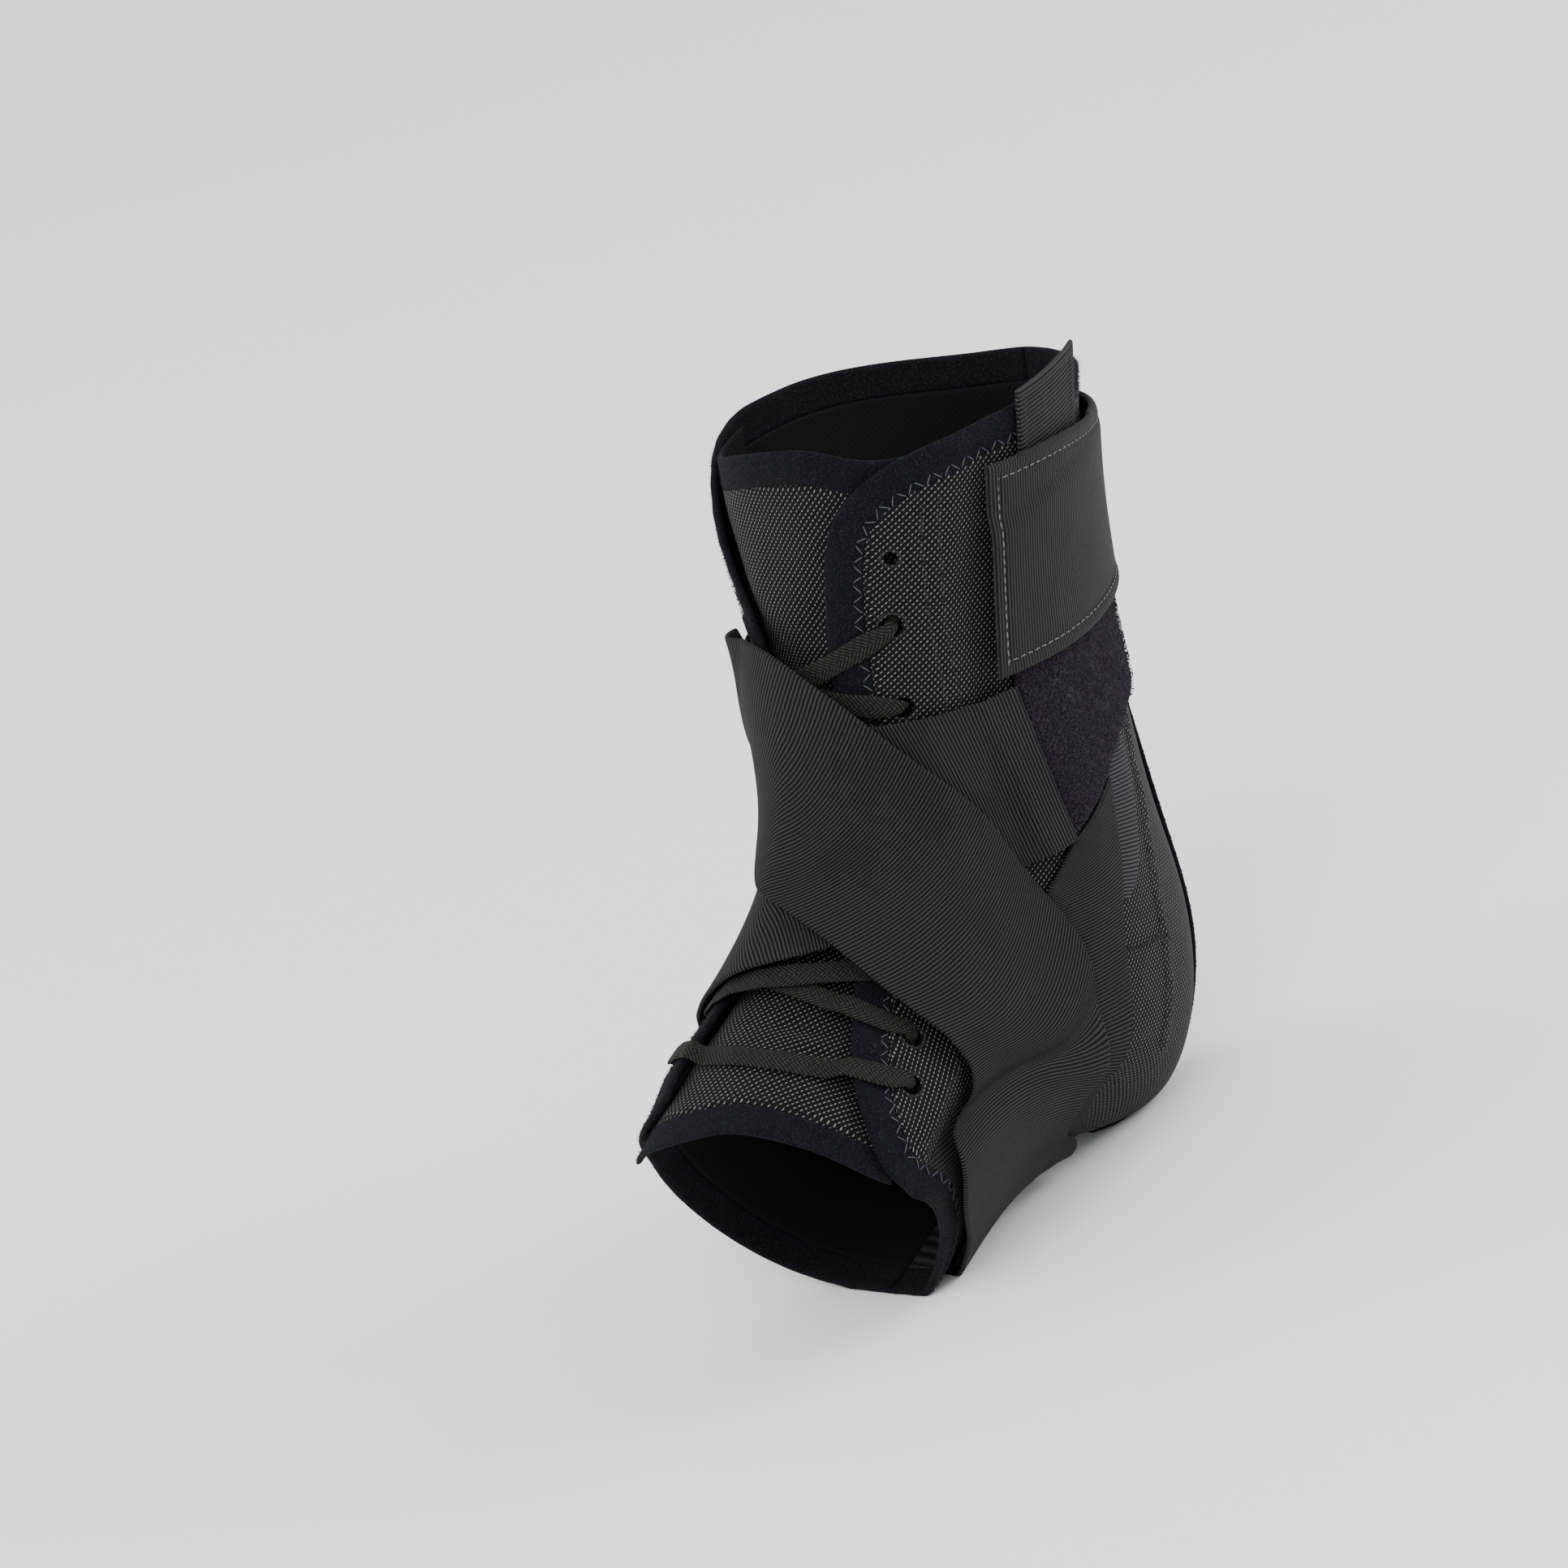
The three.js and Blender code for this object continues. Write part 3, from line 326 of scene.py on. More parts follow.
def plainAngle(angle):
    return np.mod(angle + 180, 360) - 180


def overTongue(station, angle, margin, fall):
    turn = plainAngle(angle)
    past = np.where(turn > 0, turn - medialTongueSide(station), lateralTongueSide(station) - turn)
    return smooth((margin + fall - past) / fall)


def panelBottom(station, angle):
    upper = smooth((station - eyeletStations[1] + 1.4) / 0.8)
    lower = smooth((eyeletStations[-1] + 1.2 - station) / 0.8)
    rise = layer["tongue"] + layer["clearance"] + laceLayer * (upper * lower)
    return rise * overTongue(station, angle, 2, 18)


def panelTop(station, angle):
    return panelBottom(station, angle) + layer["panel"]


def pileBottom(station, angle):
    return panelTop(station, angle) + layer["pileGap"]


def strapBottom(station, angle):
    return panelTop(station, angle) + layer["strapGap"] + laceLayer * overTongue(station, angle, -8, 12)


# Meshes from grids of places

def shares(count, length, radius=0.9):
    # even shares, with more of them close to both ends for the rounded rims
    near = radius / length * np.array([0, 0.06, 0.25, 0.6])
    inner = np.linspace(radius / length, 1 - radius / length, count)
    return np.concatenate([near, inner, 1 - near[::-1]])


def measured(points):
    du = np.linalg.norm(np.diff(points, axis=1), axis=-1)
    dv = np.linalg.norm(np.diff(points, axis=0), axis=-1)
    u = np.concatenate([np.zeros((len(points), 1)), np.cumsum(du, 1)], 1)
    v = np.concatenate([np.zeros((1, points.shape[1])), np.cumsum(dv, 0)], 0)
    return u, v


def laidFlat(points, steps=60, most=40):
    # the cut of a piece: a thinned grid is laid flat triangle by triangle with as little
    # stretch as can be, in steps, and the full grid is read off it
    rows, columns = (np.unique(np.linspace(0, n - 1, most).astype(int)) for n in points.shape[:2])
    p = points[np.ix_(rows, columns)]
    u, v = measured(p)
    u = u - u[:, len(columns) // 2, None]
    index = np.arange(u.size).reshape(u.shape)
    a, b, c, d = index[:-1, :-1], index[1:, :-1], index[1:, 1:], index[:-1, 1:]
    corners = np.concatenate([quads(a, b, c), quads(a, c, d)])
    first, second, third = (p.reshape(-1, 3)[corners[:, k]] for k in range(3))
    x = unit(second - first)
    y = unit(np.cross(np.cross(second - first, third - first), x))
    local = np.stack([np.zeros(len(x)), ((second - first) * x).sum(-1),
                      ((third - first) * x).sum(-1) + 1j * ((third - first) * y).sum(-1)], -1)
    pulls = np.zeros((u.size, u.size))
    edges = []
    for k in range(3):
        i, j = corners[:, k], corners[:, (k + 1) % 3]
        near = local[:, k] - local[:, (k + 2) % 3]
        far = local[:, (k + 1) % 3] - local[:, (k + 2) % 3]
        turn = near * np.conj(far)
        weight = np.clip(turn.real / np.maximum(np.abs(turn.imag), 1e-6), 0.05, 5)
        edges.append((i, j, weight, local[:, k] - local[:, (k + 1) % 3]))
        for row, column, sign in ((i, i, 1), (j, j, 1), (i, j, -1), (j, i, -1)):
            np.add.at(pulls, (row, column), sign * weight)
    pulls[0, 0] += 1
    inverse = np.linalg.inv(pulls)
    flat = (v + 1j * u).ravel()
    for _ in range(steps):
        turn = sum(w * (flat[i] - flat[j]) * np.conj(e) for i, j, w, e in edges)
        turn /= np.maximum(np.abs(turn), 1e-9)
        wanted = np.zeros(u.size, complex)
        for i, j, w, e in edges:
            np.add.at(wanted, i, w * turn * e)
            np.add.at(wanted, j, -w * turn * e)
        wanted[0] += flat[0]
        flat = inverse @ wanted
    flat = flat.reshape(u.shape)
    every = [np.arange(n) for n in points.shape[:2]]
    flat = np.stack([np.interp(every[0], rows, flat[:, k]) for k in range(len(columns))], 1)
    flat = np.stack([np.interp(every[1], columns, row) for row in flat])
    return flat.imag, flat.real


def meshFrom(name, points, edges, faces):
    # a mesh in the frame, from points in the form's millimetres
    mesh = bpy.data.meshes.new(name)
    mesh.from_pydata(((points + np.array(form["shift"])) / 1000).tolist(), edges, faces)
    return mesh


def makeObject(name, points, faces, flat, material):
    # flat is the place of each point on the uncut cloth
    mesh = meshFrom(name, points, [], faces.tolist())
    corners = np.zeros(len(mesh.loops), int)
    mesh.loops.foreach_get("vertex_index", corners)
    mesh.uv_layers.new(name="cloth").data.foreach_set("uv", (flat[corners] / 1000).ravel())
    mesh.shade_smooth()
    mesh.materials.append(material)
    return addObject(name, mesh)


def quads(*corners):
    return np.stack([c.ravel() for c in corners], -1)


def rimGap(u, v):
    # how far each place of a grid lies from the nearest edge of the cloth
    return np.minimum(np.minimum(u, u[:, -1:] - u), np.minimum(v, v[-1:] - v))


def turnedOut(points, faces):
    a, b, c, d = (points[faces[:, k]] for k in range(4))
    volume = (a * np.cross(b, c)).sum() + (a * np.cross(c, d)).sum()
    return faces if volume > 0 else faces[:, ::-1]


def makeSheet(name, places, low, high, material, level=None, radius=0.9, flow=None):
    # a closed cloth with rounded rims between two heights above the form; flow says which way
    # the weave runs straight, and "cut" that it is laid flat from the surface
    station, angle = places
    middle = (low + high) / 2
    u, v = measured(pointAbove(station, angle, middle, level))
    half = (high - low) / 2 * np.sqrt(1 - (1 - np.clip(rimGap(u, v) / radius, 0.05, 1)) ** 2)
    points = np.concatenate([
        pointAbove(station, angle, middle - half, level).reshape(-1, 3),
        pointAbove(station, angle, middle + half, level).reshape(-1, 3)])
    rows, columns = station.shape
    under, top = np.arange(2 * rows * columns).reshape(2, rows, columns)
    faces = np.concatenate([
        quads(top[:-1, :-1], top[1:, :-1], top[1:, 1:], top[:-1, 1:]),
        quads(under[:-1, :-1], under[:-1, 1:], under[1:, 1:], under[1:, :-1]),
        quads(under[:-1, 0], under[1:, 0], top[1:, 0], top[:-1, 0]),
        quads(under[1:, -1], under[:-1, -1], top[:-1, -1], top[1:, -1]),
        quads(under[0, 1:], under[0, :-1], top[0, :-1], top[0, 1:]),
        quads(under[-1, :-1], under[-1, 1:], top[-1, 1:], top[-1, :-1])])
    if flow == "rows":
        v = np.broadcast_to(v.mean(1, keepdims=True), v.shape)
    if flow == "columns":
        u = np.broadcast_to(u.mean(0, keepdims=True), u.shape)
    u = u - u[:, columns // 2, None]
    if flow == "cut":
        u, v = laidFlat(pointAbove(station, angle, middle, level))
    flat = np.stack([u, v], -1).reshape(-1, 2)
    made = makeObject(name, points, turnedOut(points, faces), np.concatenate([flat, flat]), material)
    inner = np.concatenate([np.ones(station.size), np.zeros(station.size)])
    made.data.attributes.new("inner", "FLOAT", "POINT").data.foreach_set("value", inner)
    made["flat"] = [float(np.ptp(u, 1).mean()) / 1000, float(np.ptp(v, 0).mean()) / 1000]
    return made


def relief(station, angle, seams, bumps=()):
    # ridges and grooves along seams, and dents and swellings at places
    here = formPoint(station, angle)
    height = np.zeros(station.shape)
    for seam in seams:
        route = track(seam["route"])
        along = formPoint(*route["at"](np.linspace(0, route["length"], 90)))
        gap = np.min([np.linalg.norm(here - p, axis=-1) for p in along], axis=0)
        height += seam["height"] * np.exp(-(gap / seam["width"]) ** 2)
    for s, a, ds, da, h in bumps:
        height += h * np.exp(-((station - s) / ds) ** 2 - ((plainAngle(angle) - a) / da) ** 2)
    return height


def wave(station, angle, size):
    # slow unevenness of worn cloth
    return size * (np.sin(station * 2.3 + angle * 0.052) * np.sin(angle * 0.071 - station * 1.1)
                   + 0.5 * np.sin(station * 5.1 - angle * 0.11))


# Materials

class Nodes:
    def __init__(self, tree):
        self.tree = tree

    def node(self, kind, settings=None, inputs=None):
        made = self.tree.nodes.new(kind)
        for key, value in (settings or {}).items():
            setattr(made, key, value)
        for key, value in (inputs or {}).items():
            self.feed(made.inputs[key], value)
        return made

    def feed(self, socket, value):
        if isinstance(value, Wire):
            value = value.socket
        if isinstance(value, bpy.types.NodeSocket):
            self.tree.links.new(value, socket)
        else:
            socket.default_value = value


class Wire:
    # a number from a node, for sums written as Python expressions
    def __init__(self, nodes, socket):
        self.nodes = nodes
        self.socket = socket

    def math(self, operation, *values):
        made = self.nodes.node("ShaderNodeMath", {"operation": operation}, dict(enumerate(values)))
        return Wire(self.nodes, made.outputs[0])

    def __add__(self, other):
        return self.math("ADD", self, other)

    def __sub__(self, other):
        return self.math("SUBTRACT", self, other)

    def __rsub__(self, other):
        return self.math("SUBTRACT", other, self)

    def __mul__(self, other):
        return self.math("MULTIPLY", self, other)

    def __truediv__(self, other):
        return self.math("DIVIDE", self, other)

    __radd__ = __add__
    __rmul__ = __mul__

    def fraction(self):
        return self.math("FRACT", self)

    def floor(self):
        return self.math("FLOOR", self)

    def size(self):
        return self.math("ABSOLUTE", self)

    def sine(self):
        return self.math("SINE", self)

    def power(self, other):
        return self.math("POWER", self, other)

    def rise(self, start, end):
        # 0 before start and 1 past end
        made = self.nodes.node("ShaderNodeMapRange", {"interpolation_type": "SMOOTHSTEP"}, {
            "Value": self, "From Min": start, "From Max": end})
        return Wire(self.nodes, made.outputs[0])


class Paint(Nodes):
    def __init__(self, name):
        self.material = bpy.data.materials.new(name)
        self.material.use_nodes = True
        super().__init__(self.material.node_tree)
        self.shader = self.tree.nodes["Principled BSDF"]
        self.shader.inputs["Specular IOR Level"].default_value = 0.12

    def flat(self):
        # the place on the uncut cloth, in millimetres
        place = self.node("ShaderNodeUVMap", {"uv_map": "cloth"}).outputs[0]
        apart = self.node("ShaderNodeSeparateXYZ", inputs={0: place})
        return Wire(self, apart.outputs[0]) * 1000, Wire(self, apart.outputs[1]) * 1000

    def height(self):
        # height above the floor, in millimetres
        place = self.node("ShaderNodeTexCoord").outputs["Object"]
        return Wire(self, self.node("ShaderNodeSeparateXYZ", inputs={0: place}).outputs[2]) * 1000

    def noise(self, size, detail=2.0, rough=0.5):
        # speckle whose grains are about size millimetres wide
        place = self.node("ShaderNodeTexCoord").outputs["Object"]
        made = self.node("ShaderNodeTexNoise", {"noise_dimensions": "3D"}, {
            "Vector": place, "Scale": 1000 / size, "Detail": detail, "Roughness": rough})
        return Wire(self, made.outputs[0])

    def blend(self, share, first, second):
        made = self.node("ShaderNodeMix", {"data_type": "RGBA"}, {0: share})
        for socket, value in ((made.inputs[6], first), (made.inputs[7], second)):
            self.feed(socket, (*value, 1) if isinstance(value, tuple) else value)
        return made.outputs[2]

    def attribute(self, name):
        return Wire(self, self.node("ShaderNodeAttribute", {"attribute_name": name}).outputs["Fac"])

    def finish(self, color, roughness, height=None, depth=0.1, sheen=0.0, sheenTint=(0.5, 0.5, 0.5)):
        self.feed(self.shader.inputs["Base Color"], color)
        self.feed(self.shader.inputs["Roughness"], roughness)
        self.shader.inputs["Sheen Weight"].default_value = sheen
        self.shader.inputs["Sheen Roughness"].default_value = 0.5
        self.shader.inputs["Sheen Tint"].default_value = (*sheenTint, 1)
        if height is not None:
            bump = self.node("ShaderNodeBump", inputs={
                "Strength": 1.0, "Distance": depth / 1000, "Height": height})
            self.feed(self.shader.inputs["Normal"], bump.outputs[0])
        return self.material


def ribs(paint, along, pitch, jitter):
    turn = along * (2 * math.pi / pitch) + paint.noise(2.5, 1) * jitter
    return turn.sine() * 0.5 + 0.5


def paintRibbed(name, s):
    paint = Paint(name)
    u, v = paint.flat()
    along = v if s["axis"] == "v" else u
    cross = u if s["axis"] == "v" else v
    rib = ribs(paint, along, s["pitch"], s["jitter"])
    knots = ((cross * (2 * math.pi / s["knot"])) + (along / s["pitch"]).floor() * 2.4).sine() * 0.5 + 0.5
    grain = paint.noise(0.35)
    raised = rib.power(s["sharp"]) * (1 - s["knotDepth"] * knots)
    # the colour follows the height of the ribs: the grooves are painted darker and the ridges lighter,
    # painted shade in the grooves
    tone = raised * (0.45 + grain * 1.1)
    worn = paint.noise(14, 2)
    tone = tone * (0.75 + worn * 0.5)
    return paint.finish(paint.blend(tone, s["dark"], s["light"]), 0.9 - raised * 0.2, raised + grain * 0.25,
                        s["depth"], s["sheen"], s["sheenTint"])


def meshWeave(paint, u, v, s):
    row = (v / s["row"]).floor()
    x = (u / s["dot"] + row * 0.5).fraction() - 0.5
    y = (v / s["row"]).fraction() - 0.5
    slant = x + y * s["slant"]
    gap = (slant * slant / s["dotWidth"] ** 2 + y * y / s["dotLength"] ** 2).power(0.5)
    return 1 - gap.rise(0.55, 1.15)


def paintMesh(name, s):
    paint = Paint(name)
    u, v = paint.flat()
    dots = meshWeave(paint, u, v, s)
    grain = paint.noise(0.6, 2)
    glint = dots * (0.3 + grain * 1.2) * (1 - paint.attribute("inner"))
    zone = paint.attribute("arch")
    rib = ribs(paint, paint.height(), s["archPitch"], s["archJitter"])
    # in the ribbed arch zone the grooves are painted darker than the ridges, painted shade in the grooves
    ribTone = rib.power(1.5) * (0.3 + grain * 0.6) * s["archTone"]
    tone = glint * (1 - zone) + ribTone * zone
    height = dots * (1 - zone) + rib * zone
    color = paint.blend(tone, s["dark"], s["light"])
    return paint.finish(color, 0.85 - dots * 0.25, height, s["depth"], 0.02)


def paintNap(name, s):
    paint = Paint(name)
    fine = paint.noise(s["grain"], 3, 0.75)
    specks = fine.rise(s["from"], s["to"])
    broad = paint.noise(9, 3)
    tone = specks * (0.45 + broad * 1.0)
    color = paint.blend(tone, s["dark"], s["light"])
    return paint.finish(color, 0.95, fine, s["depth"], s["sheen"], s["sheenTint"])


def paintBraid(name, s):
    paint = Paint(name)
    u, v = paint.flat()
    chevron = (v + u.size() * 1.1) / s["pitch"]
    strand = (chevron * (2 * math.pi)).sine() * 0.5 + 0.5
    bars = ((u * (2 * math.pi / s["bar"])) + (chevron.floor() * math.pi)).sine() * 0.5 + 0.5
    grain = paint.noise(0.5)
    raised = strand.power(1.3) * (0.35 + bars * 0.65)
    # the colour follows the height of the strands: the hollows between them are painted darker and the crowns
    # lighter, painted shade in the hollows
    tone = raised * (0.4 + grain * 1.1)
    return paint.finish(paint.blend(tone, s["dark"], s["light"]), 0.8, raised, s["depth"], 0.02)


def paintThread(name, color):
    paint = Paint(name)
    grain = paint.noise(0.3)
    pale = tuple(min(1.0, c * 1.6) for c in color)
    return paint.finish(paint.blend(grain, color, pale), 0.6, grain, 0.05)


meshPaint = paintMesh("mesh_cloth_paint", {
    "dot": 1.5, "row": 0.8, "slant": 0.28, "dotWidth": 0.15, "dotLength": 0.42, "depth": 0.22,
    "archPitch": 0.95, "archJitter": 1.8, "archTone": 0.22,
    "dark": (0.002, 0.002, 0.0025), "light": (0.15, 0.146, 0.146)})
bindingPaint = paintNap("binding_paint", {
    "grain": 0.42, "from": 0.5, "to": 0.75, "depth": 0.35, "dark": (0.002, 0.002, 0.004),
    "light": (0.024, 0.0232, 0.033), "sheen": 0.01, "sheenTint": (0.42, 0.42, 0.62)})
strapPaint = paintRibbed("strap_paint", {
    "axis": "v", "pitch": 0.86, "jitter": 1.4, "sharp": 1.5, "knot": 0.5, "knotDepth": 0.25, "depth": 0.2,
    "dark": (0.0010, 0.0010, 0.0012), "light": (0.033, 0.0318, 0.0325), "sheen": 0.008,
    "sheenTint": (0.75, 0.68, 0.7)})
pilePaint = paintNap("loop_pile_paint", {
    "grain": 0.55, "from": 0.45, "to": 0.72, "depth": 0.6, "dark": (0.003, 0.002, 0.004),
    "light": (0.044, 0.033, 0.052), "sheen": 0.03, "sheenTint": (0.62, 0.50, 0.74)})
cuffPaint = paintRibbed("cuff_paint", {
    "axis": "u", "pitch": 0.78, "jitter": 1.6, "sharp": 0.9, "knot": 0.6, "knotDepth": 0.35, "depth": 0.09,
    "dark": (0.002, 0.0019, 0.0019), "light": (0.03, 0.0286, 0.029), "sheen": 0.03,
    "sheenTint": (0.9, 0.82, 0.86)})
tabPaint = paintRibbed("tab_paint", {
    "axis": "v", "pitch": 1.0, "jitter": 0.5, "sharp": 1.2, "knot": 0.62, "knotDepth": 0.75, "depth": 0.3,
    "dark": (0.0015, 0.0015, 0.0015), "light": (0.060, 0.060, 0.062), "sheen": 0.02,
    "sheenTint": (0.6, 0.6, 0.6)})
stayPaint = paintRibbed("stay_paint", {
    "axis": "v", "pitch": 0.95, "jitter": 1.2, "sharp": 1.2, "knot": 0.5, "knotDepth": 0.3, "depth": 0.22,
    "dark": (0.002, 0.002, 0.003), "light": (0.058, 0.055, 0.060), "sheen": 0.02,
    "sheenTint": (0.7, 0.65, 0.75)})
lacePaint = paintBraid("lace_paint", {
    "pitch": 1.05, "bar": 1.05, "depth": 0.25,
    "dark": (0.002, 0.002, 0.0018), "light": (0.034, 0.033, 0.027)})
hairPaint = paintThread("loop_hair_paint", (0.017, 0.0135, 0.021))
fuzzPaint = paintThread("binding_fuzz_paint", (0.012, 0.012, 0.018))
darkThread = paintThread("dark_thread_paint", (0.016, 0.016, 0.018))
navyThread = paintThread("navy_thread_paint", (0.05, 0.05, 0.06))
greyThread = paintThread("grey_thread_paint", (0.10, 0.095, 0.092))
print("materials made")

# Side panels and their bindings

# corner and toe are the rows of the edge table where the lace side starts and ends
sides = {
    "medial": {"edge": track(medialEdge), "inward": 1, "corner": 7, "toe": 17},
    "lateral": {"edge": track(lateralEdge), "inward": -1, "corner": 7, "toe": 17},
}


def insetPlace(side, distance, inset):
    at = side["edge"]["at"]
    station, angle = at(distance)
    normal = formNormal(station, angle)
    before = formPoint(*at(np.maximum(distance - 1, 0)))
    along = formPoint(*at(np.minimum(distance + 1, side["edge"]["length"]))) - before
    along = unit(along - normal * (along * normal).sum(-1, keepdims=True))
    return walk(station, angle, np.cross(normal, along) * side["inward"], inset)


def seamPlace(side, station):
    outward = (side["inward"], 0, 0)
    middle = np.full(np.shape(station), 180.0 * side["inward"])
    return station, walk(station, middle, outward, layer["seamGap"] / 2)[1]


def keepToSide(side, station, angle):
    seam = seamPlace(side, station)[1]
    over = angle > seam if side["inward"] > 0 else angle < seam
    return station, np.where(over, seam, angle)


def panelPlaces(side, t, s):
    # a patch between the lace side, the top, the toe side and the seam
    edge = side["edge"]
    corner, toe = edge["reach"][side["corner"]], edge["reach"][side["toe"]]
    inset = layer["bindingWidth"] - layer["tuck"]

    def places(distance):
        return np.stack(keepToSide(side, *insetPlace(side, distance, inset)), -1)

    lace = places(spaced(edge["at"], corner, toe, t))
    top = places(spaced(edge["at"], 0, corner, 1 - s))
    foot = places(spaced(edge["at"], toe, edge["length"], s))
    first = float(walk(medialEdge[0][0], 180.0, (0, 0, -1), inset)[0])
    last = float(walk(medialEdge[-1][0], 180.0, (0, 1, 0), inset)[0])
    seam = track([[first + (last - first) * i / 39, 180] for i in range(40)])
    back = np.stack(seamPlace(side, seam["at"](spaced(seam["at"], 0, seam["length"], t))[0]), -1)
    top[-1], foot[-1] = back[0], back[-1]
    a, b = s[None, :, None], t[:, None, None]
    grid = ((1 - a) * lace[:, None] + a * back[:, None] + (1 - b) * top[None] + b * foot[None]
            - (1 - a) * (1 - b) * lace[0] - a * (1 - b) * back[0] - (1 - a) * b * lace[-1] - a * b * back[-1])
    return grid[..., 0], grid[..., 1]


def eyeletPlace(side, row):
    edge = side["edge"]
    d = np.linspace(edge["reach"][side["corner"] + 1], edge["reach"][side["toe"]], 1500)
    return insetPlace(side, np.interp(eyeletStations[row], edge["at"](d)[0], d), eyeletInset)


eyelets = {name: [eyeletPlace(side, row) for row in range(8)] for name, side in sides.items()}

panelSettings = {
    "rows": 150, "columns": 64, "tall": 190, "wide": 95, "wave": 0.16,
    "holeSides": 26, "holeWidth": 4.9, "emptyWidth": 3.2,
    # seams on each panel: stations and angles, height and width of the ridge or groove
    "medial": [
        {"route": [[1.98, 49], [2.12, 48], [2.55, 47.5], [3.02, 48], [3.35, 49], [3.8, 50.5], [4.6, 52],
                   [5.4, 53]], "height": -0.3, "width": 0.9},
        {"route": [[1.98, 54], [2.15, 53], [2.6, 53], [3.08, 53], [3.4, 54], [3.75, 55], [4.6, 57],
                   [5.4, 58]], "height": -0.3, "width": 0.9},
        {"route": [[3.2, 146], [4.0, 141], [4.88, 137], [5.23, 134], [5.53, 133], [5.8, 130], [6.18, 126],
                   [6.55, 124], [6.88, 125], [7.3, 128], [7.9, 134]], "height": 0.75, "width": 1.5},
        {"route": [[6.88, 125], [6.9, 119.5], [6.98, 110.5], [7.05, 100], [7.3, 90]],
         "height": 0.4, "width": 0.9},
        {"route": [[8.4, 66], [8.78, 68.5], [9.1, 75], [9.53, 78], [9.88, 83.5], [10.25, 86],
                   [10.53, 90.5]], "height": 0.4, "width": 1.3},
    ],
    "lateral": [
        {"route": [[2.0, -60], [2.6, -52], [3.2, -44], [4.0, -38], [5.0, -36]], "height": -0.3, "width": 0.9},
        {"route": [[3.2, -146], [4.0, -141], [4.88, -136], [5.5, -130], [6.1, -124], [6.6, -121],
                   [7.2, -124]], "height": 0.7, "width": 1.5},
    ],
}


def cutEyelets(panel, name):
    # round holes along the lace side
    s = panelSettings
    count = s["holeSides"]
    parts = []
    turn = np.linspace(0, 2 * np.pi, count, endpoint=False)
    for row, (station, angle) in enumerate(eyelets[name]):
        normal = formNormal(station, angle)
        right = unit(np.cross(normal, (0.3, 0.2, 0.9)))
        up = np.cross(normal, right)
        radius = (s["emptyWidth"] if row == 0 else s["holeWidth"]) / 2
        middle = pointAbove(station, angle, panelBottom(station, angle) + layer["panel"] / 2)
        ring = radius * (np.cos(turn)[:, None] * right + np.sin(turn)[:, None] * up)
        parts.append(np.concatenate([middle - 3 * normal + ring, middle + 3 * normal + ring]))
    faces = []
    for k in range(len(parts)):
        first = 2 * count * k
        under = [first + i for i in range(count)]
        over = [first + count + i for i in range(count)]
        faces += [[under[i], under[(i + 1) % count], over[(i + 1) % count], over[i]] for i in range(count)]
        faces += [under[::-1], over]
    cutter = addObject("eyelet_cutter", meshFrom("eyelet_cutter", np.concatenate(parts), [], faces))
    cut = panel.modifiers.new("eyelets", "BOOLEAN")
    cut.operation, cut.solver, cut.object = "DIFFERENCE", "EXACT", cutter
    applyAll(panel)
    bpy.data.objects.remove(cutter)


def applyAll(piece):
    bpy.context.view_layer.update()
    depsgraph = bpy.context.evaluated_depsgraph_get()
    made = bpy.data.meshes.new_from_object(piece.evaluated_get(depsgraph), preserve_all_data_layers=True,
                                           depsgraph=depsgraph)
    piece.modifiers.clear()
    old, name = piece.data, piece.data.name
    piece.data = made
    bpy.data.meshes.remove(old)
    made.name = name


# station and angle of the line past which the elastic under the arch is ribbed
archLine = [[8.6, 84], [9.1, 84], [9.6, 86], [10.1, 90], [10.6, 95], [11.0, 100]]
archStation = 8.9


def archZone(station, angle):
    line = np.interp(station, *zip(*archLine))
    return smooth((angle - line) / 1.5) * smooth((station - archStation) / 0.15)


panels, bindings = {}, {}
for name, side in sides.items():
    s = panelSettings
    place = panelPlaces(side, shares(s["rows"], s["tall"]), shares(s["columns"], s["wide"]))
    rise = relief(*place, s[name]) + wave(*place, s["wave"])
    panels[name] = makeSheet(f"{name}_side_panel", place, panelBottom(*place), panelTop(*place) + rise,
                             meshPaint, flow="cut")
    if name == "medial":
        zone = archZone(*place).ravel()
        mark = panels[name].data.attributes.new("arch", "FLOAT", "POINT")
        mark.data.foreach_set("value", np.concatenate([zone, zone]))
    cutEyelets(panels[name], name)
    edge = side["edge"]
    d = np.linspace(0, edge["length"], 420)[:, None] + np.zeros((1, 18))
    inset = layer["bindingWidth"] * shares(10, layer["bindingWidth"])[None, :] + np.zeros_like(d)
    place = keepToSide(side, *insetPlace(side, d, inset))
    fold = 0.16 * np.exp(-((inset - 2.2) / 1.2) ** 2) - 0.22 * np.exp(-((inset - 6.6) / 0.5) ** 2)
    fold = fold + 0.07 * np.sin(d * 0.9 + inset * 0.4) + wave(*place, 0.1)
    bindings[name] = makeSheet(f"{name}_rim_tape", place, panelBottom(*place), panelTop(*place) + fold,
                               bindingPaint, flow="rows")
print("panels and bindings made")

# Tape over the heel seam

heelSettings = {"rows": 170, "first": 4.67, "last": 8.72, "tall": 130}


